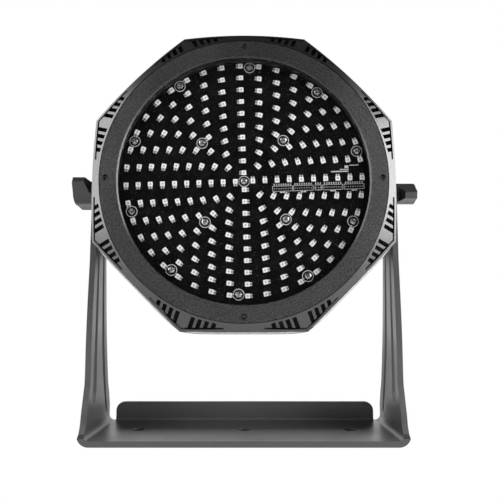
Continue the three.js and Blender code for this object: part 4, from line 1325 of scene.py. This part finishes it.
def knob_shape(name, place):
    outer_x = row_box("knob_grip_right")[1].x
    quarter = [(KNOB_REACH, KNOB_TIP_HALF - 0.8), (KNOB_REACH - 0.8, KNOB_TIP_HALF), (15, 6.6), (11, 8.1)]
    quarter += [(8, 9.4), (5, 10.6), (2.5, 11.3), (0, KNOB_HUB)]
    upper = quarter + mirrored(quarter[:-1])[::-1]
    face_on = upper + [(-u, -v) for u, v in upper]
    grip = prism(name, face_on, KNOB_INNER_X, outer_x, "x", place)
    low = KNOB_INNER_X - 1
    right = [(10, low), (12, 168.5), (KNOB_REACH + 0.5, 172.3), (KNOB_REACH + 0.5, 184.8)]
    right += [(KNOB_REACH - 2, 185.4), (9, outer_x - 0.2), (5, outer_x + 0.5)]
    outline = right + mirrored(right)[::-1]
    side_on = prism("side", [(x, y) for y, x in outline], -KNOB_HUB - 1, KNOB_HUB + 1, "z", place)
    combined(grip, side_on, "INTERSECT")
    cut(grip, rod("bore", 4.3, 160, 178.3, "x", (0, 0), 32, place))
    cut(grip, rod("cap", 6.2, outer_x - 0.5, outer_x + 1, "x", steps=48, place=place))
    return rounded(grip, 0.45, 3, 22)


def on_side(part, side):
    """Mirrors a part that was drawn for the right, if it goes on the left."""
    if side == "left":
        part.data.transform(Matrix.Scale(-1, 4, (1, 0, 0)))
        part.data.flip_normals()
    return part


def build_knobs():
    disc = [(0, 185.8), (5.7, 185.8), (5.7, 186.2), (5.2, 186.6), (0, 186.7)]
    for side, degrees in KNOB_TURN.items():
        place = Matrix.Translation(PIVOT) @ Matrix.Rotation(-math.radians(degrees), 4, "X")
        grip = on_side(knob_shape(f"knob_grip_{side}_finished", place), side)
        dressed(grip, KNOB_PLASTIC, f"knob_{side}")
        cap = on_side(smoothed(lathe(f"knob_cap_{side}", disc, 48, "x", place)), side)
        dressed(cap, BLACK_PLASTIC, f"knob_{side}")
        carried_over(f"clamp_washer_{side}", PLATED_STEEL, 0.2)
        carried_over(f"knob_stud_{side}", PLATED_STEEL, 0.3)
        carried_over(f"pivot_bush_{side}", PLATED_STEEL, 0.3)
        carried_over(f"friction_washer_{side}", NYLON, 0.1)


# ---------------------------------------------------------------- inside


def build_inside():
    carried_over("heat_sink", BLACK_ANODISED, 0.3)
    carried_over("power_supply", CAST_ALUMINIUM, 0.5)
    carried_over("led_driver", GREEN_MASK, 0.2)
    carried_over("control_board", GREEN_MASK, 0.2)


# ---------------------------------------------------------------- stage, lights and camera


def seen_white(nodes, links, felt):
    """White where the camera looks, and the given shader for the light that reaches the object."""
    mix = nodes.new("ShaderNodeMixShader")
    path = nodes.new("ShaderNodeLightPath")
    white = nodes.new("ShaderNodeEmission")
    white.inputs["Strength"].default_value = 1.0
    links.new(path.outputs["Is Camera Ray"], mix.inputs["Fac"])
    links.new(felt, mix.inputs[1])
    links.new(white.outputs["Emission"], mix.inputs[2])
    return mix.outputs["Shader"]


def build_stage():
    finish = Finish("floor_paint", 0.7, 0.0, 0.2)
    speck = finish.noise(300, 3)
    finish.connect(finish.colour(speck, (0.86, 0.86, 0.86), (0.9, 0.9, 0.9)), "Base Color")
    output = finish.nodes["Material Output"]
    shown = seen_white(finish.nodes, finish.links, finish.shader.outputs["BSDF"])
    finish.links.new(shown, output.inputs["Surface"])
    reach, depth = 9000, -0.2
    corners = [(-reach, -reach, depth), (reach, -reach, depth), (reach, reach, depth), (-reach, reach, depth)]
    floor = new_object("floor", corners, [[0, 1, 2, 3]], ROW)
    floor.data.materials.append(finish.material)


def area_light(name, place, target, size, power):
    light = bpy.data.lights.new(name, "AREA")
    light.shape = "RECTANGLE"
    light.size, light.size_y = size
    light.energy = power
    made = bpy.data.objects.new(name, light)
    made.location = place
    made.rotation_euler = (Vector(target) - Vector(place)).to_track_quat("-Z", "Y").to_euler()
    bpy.context.scene.collection.objects.link(made)


def build_lights():
    middle = (0, -0.05, 0.22)
    area_light("left_softbox", (-1.7, -0.85, 0.95), middle, (1.7, 1.9), 62)
    area_light("right_softbox", (1.7, -0.85, 0.8), middle, (1.7, 1.6), 84)
    area_light("rear_softbox", (0, 2.0, 0.45), middle, (3.6, 0.9), 14)
    world = bpy.data.worlds.new("studio")
    bpy.context.scene.world = world
    world.use_nodes = True
    nodes, links = world.node_tree.nodes, world.node_tree.links
    felt = nodes["Background"]
    felt.inputs["Color"].default_value = (1, 1, 1, 1)
    felt.inputs["Strength"].default_value = 0.02
    links.new(seen_white(nodes, links, felt.outputs["Background"]), nodes["World Output"].inputs["Surface"])


CAMERA_PLACE = (0.0061, -0.6392, 0.1357)
CAMERA_PITCH = 5.62
CAMERA_LENS = 42.03


def build_camera():
    data = bpy.data.cameras.new("camera")
    data.lens = CAMERA_LENS
    data.sensor_width = 36
    data.clip_start, data.clip_end = 0.01, 100
    camera = bpy.data.objects.new("camera", data)
    camera.location = CAMERA_PLACE
    camera.rotation_euler = (math.radians(90 + CAMERA_PITCH), 0, 0)
    bpy.context.scene.collection.objects.link(camera)
    bpy.context.scene.camera = camera


build_yoke()
build_front_cover()
build_bezel()
build_bezel_screws()
build_window_trim_and_edge_highlight()
build_window()
build_board()
build_leds()
build_board_marks()
build_board_screws()
build_housing()
build_rear_cover()
build_display()
build_buttons()
build_power_socket("power_inlet", BLUE_PLASTIC)
build_power_socket("power_outlet", GREY_PLASTIC)
build_signal_sockets()
build_fuse()
build_rear_screws()
build_safety_eye()
build_fan_guard()
build_fan_rotor()
build_fan_frame()
build_knobs()
build_inside()
build_stage()
build_lights()
build_camera()
bpy.context.scene.view_settings.view_transform = "Standard"
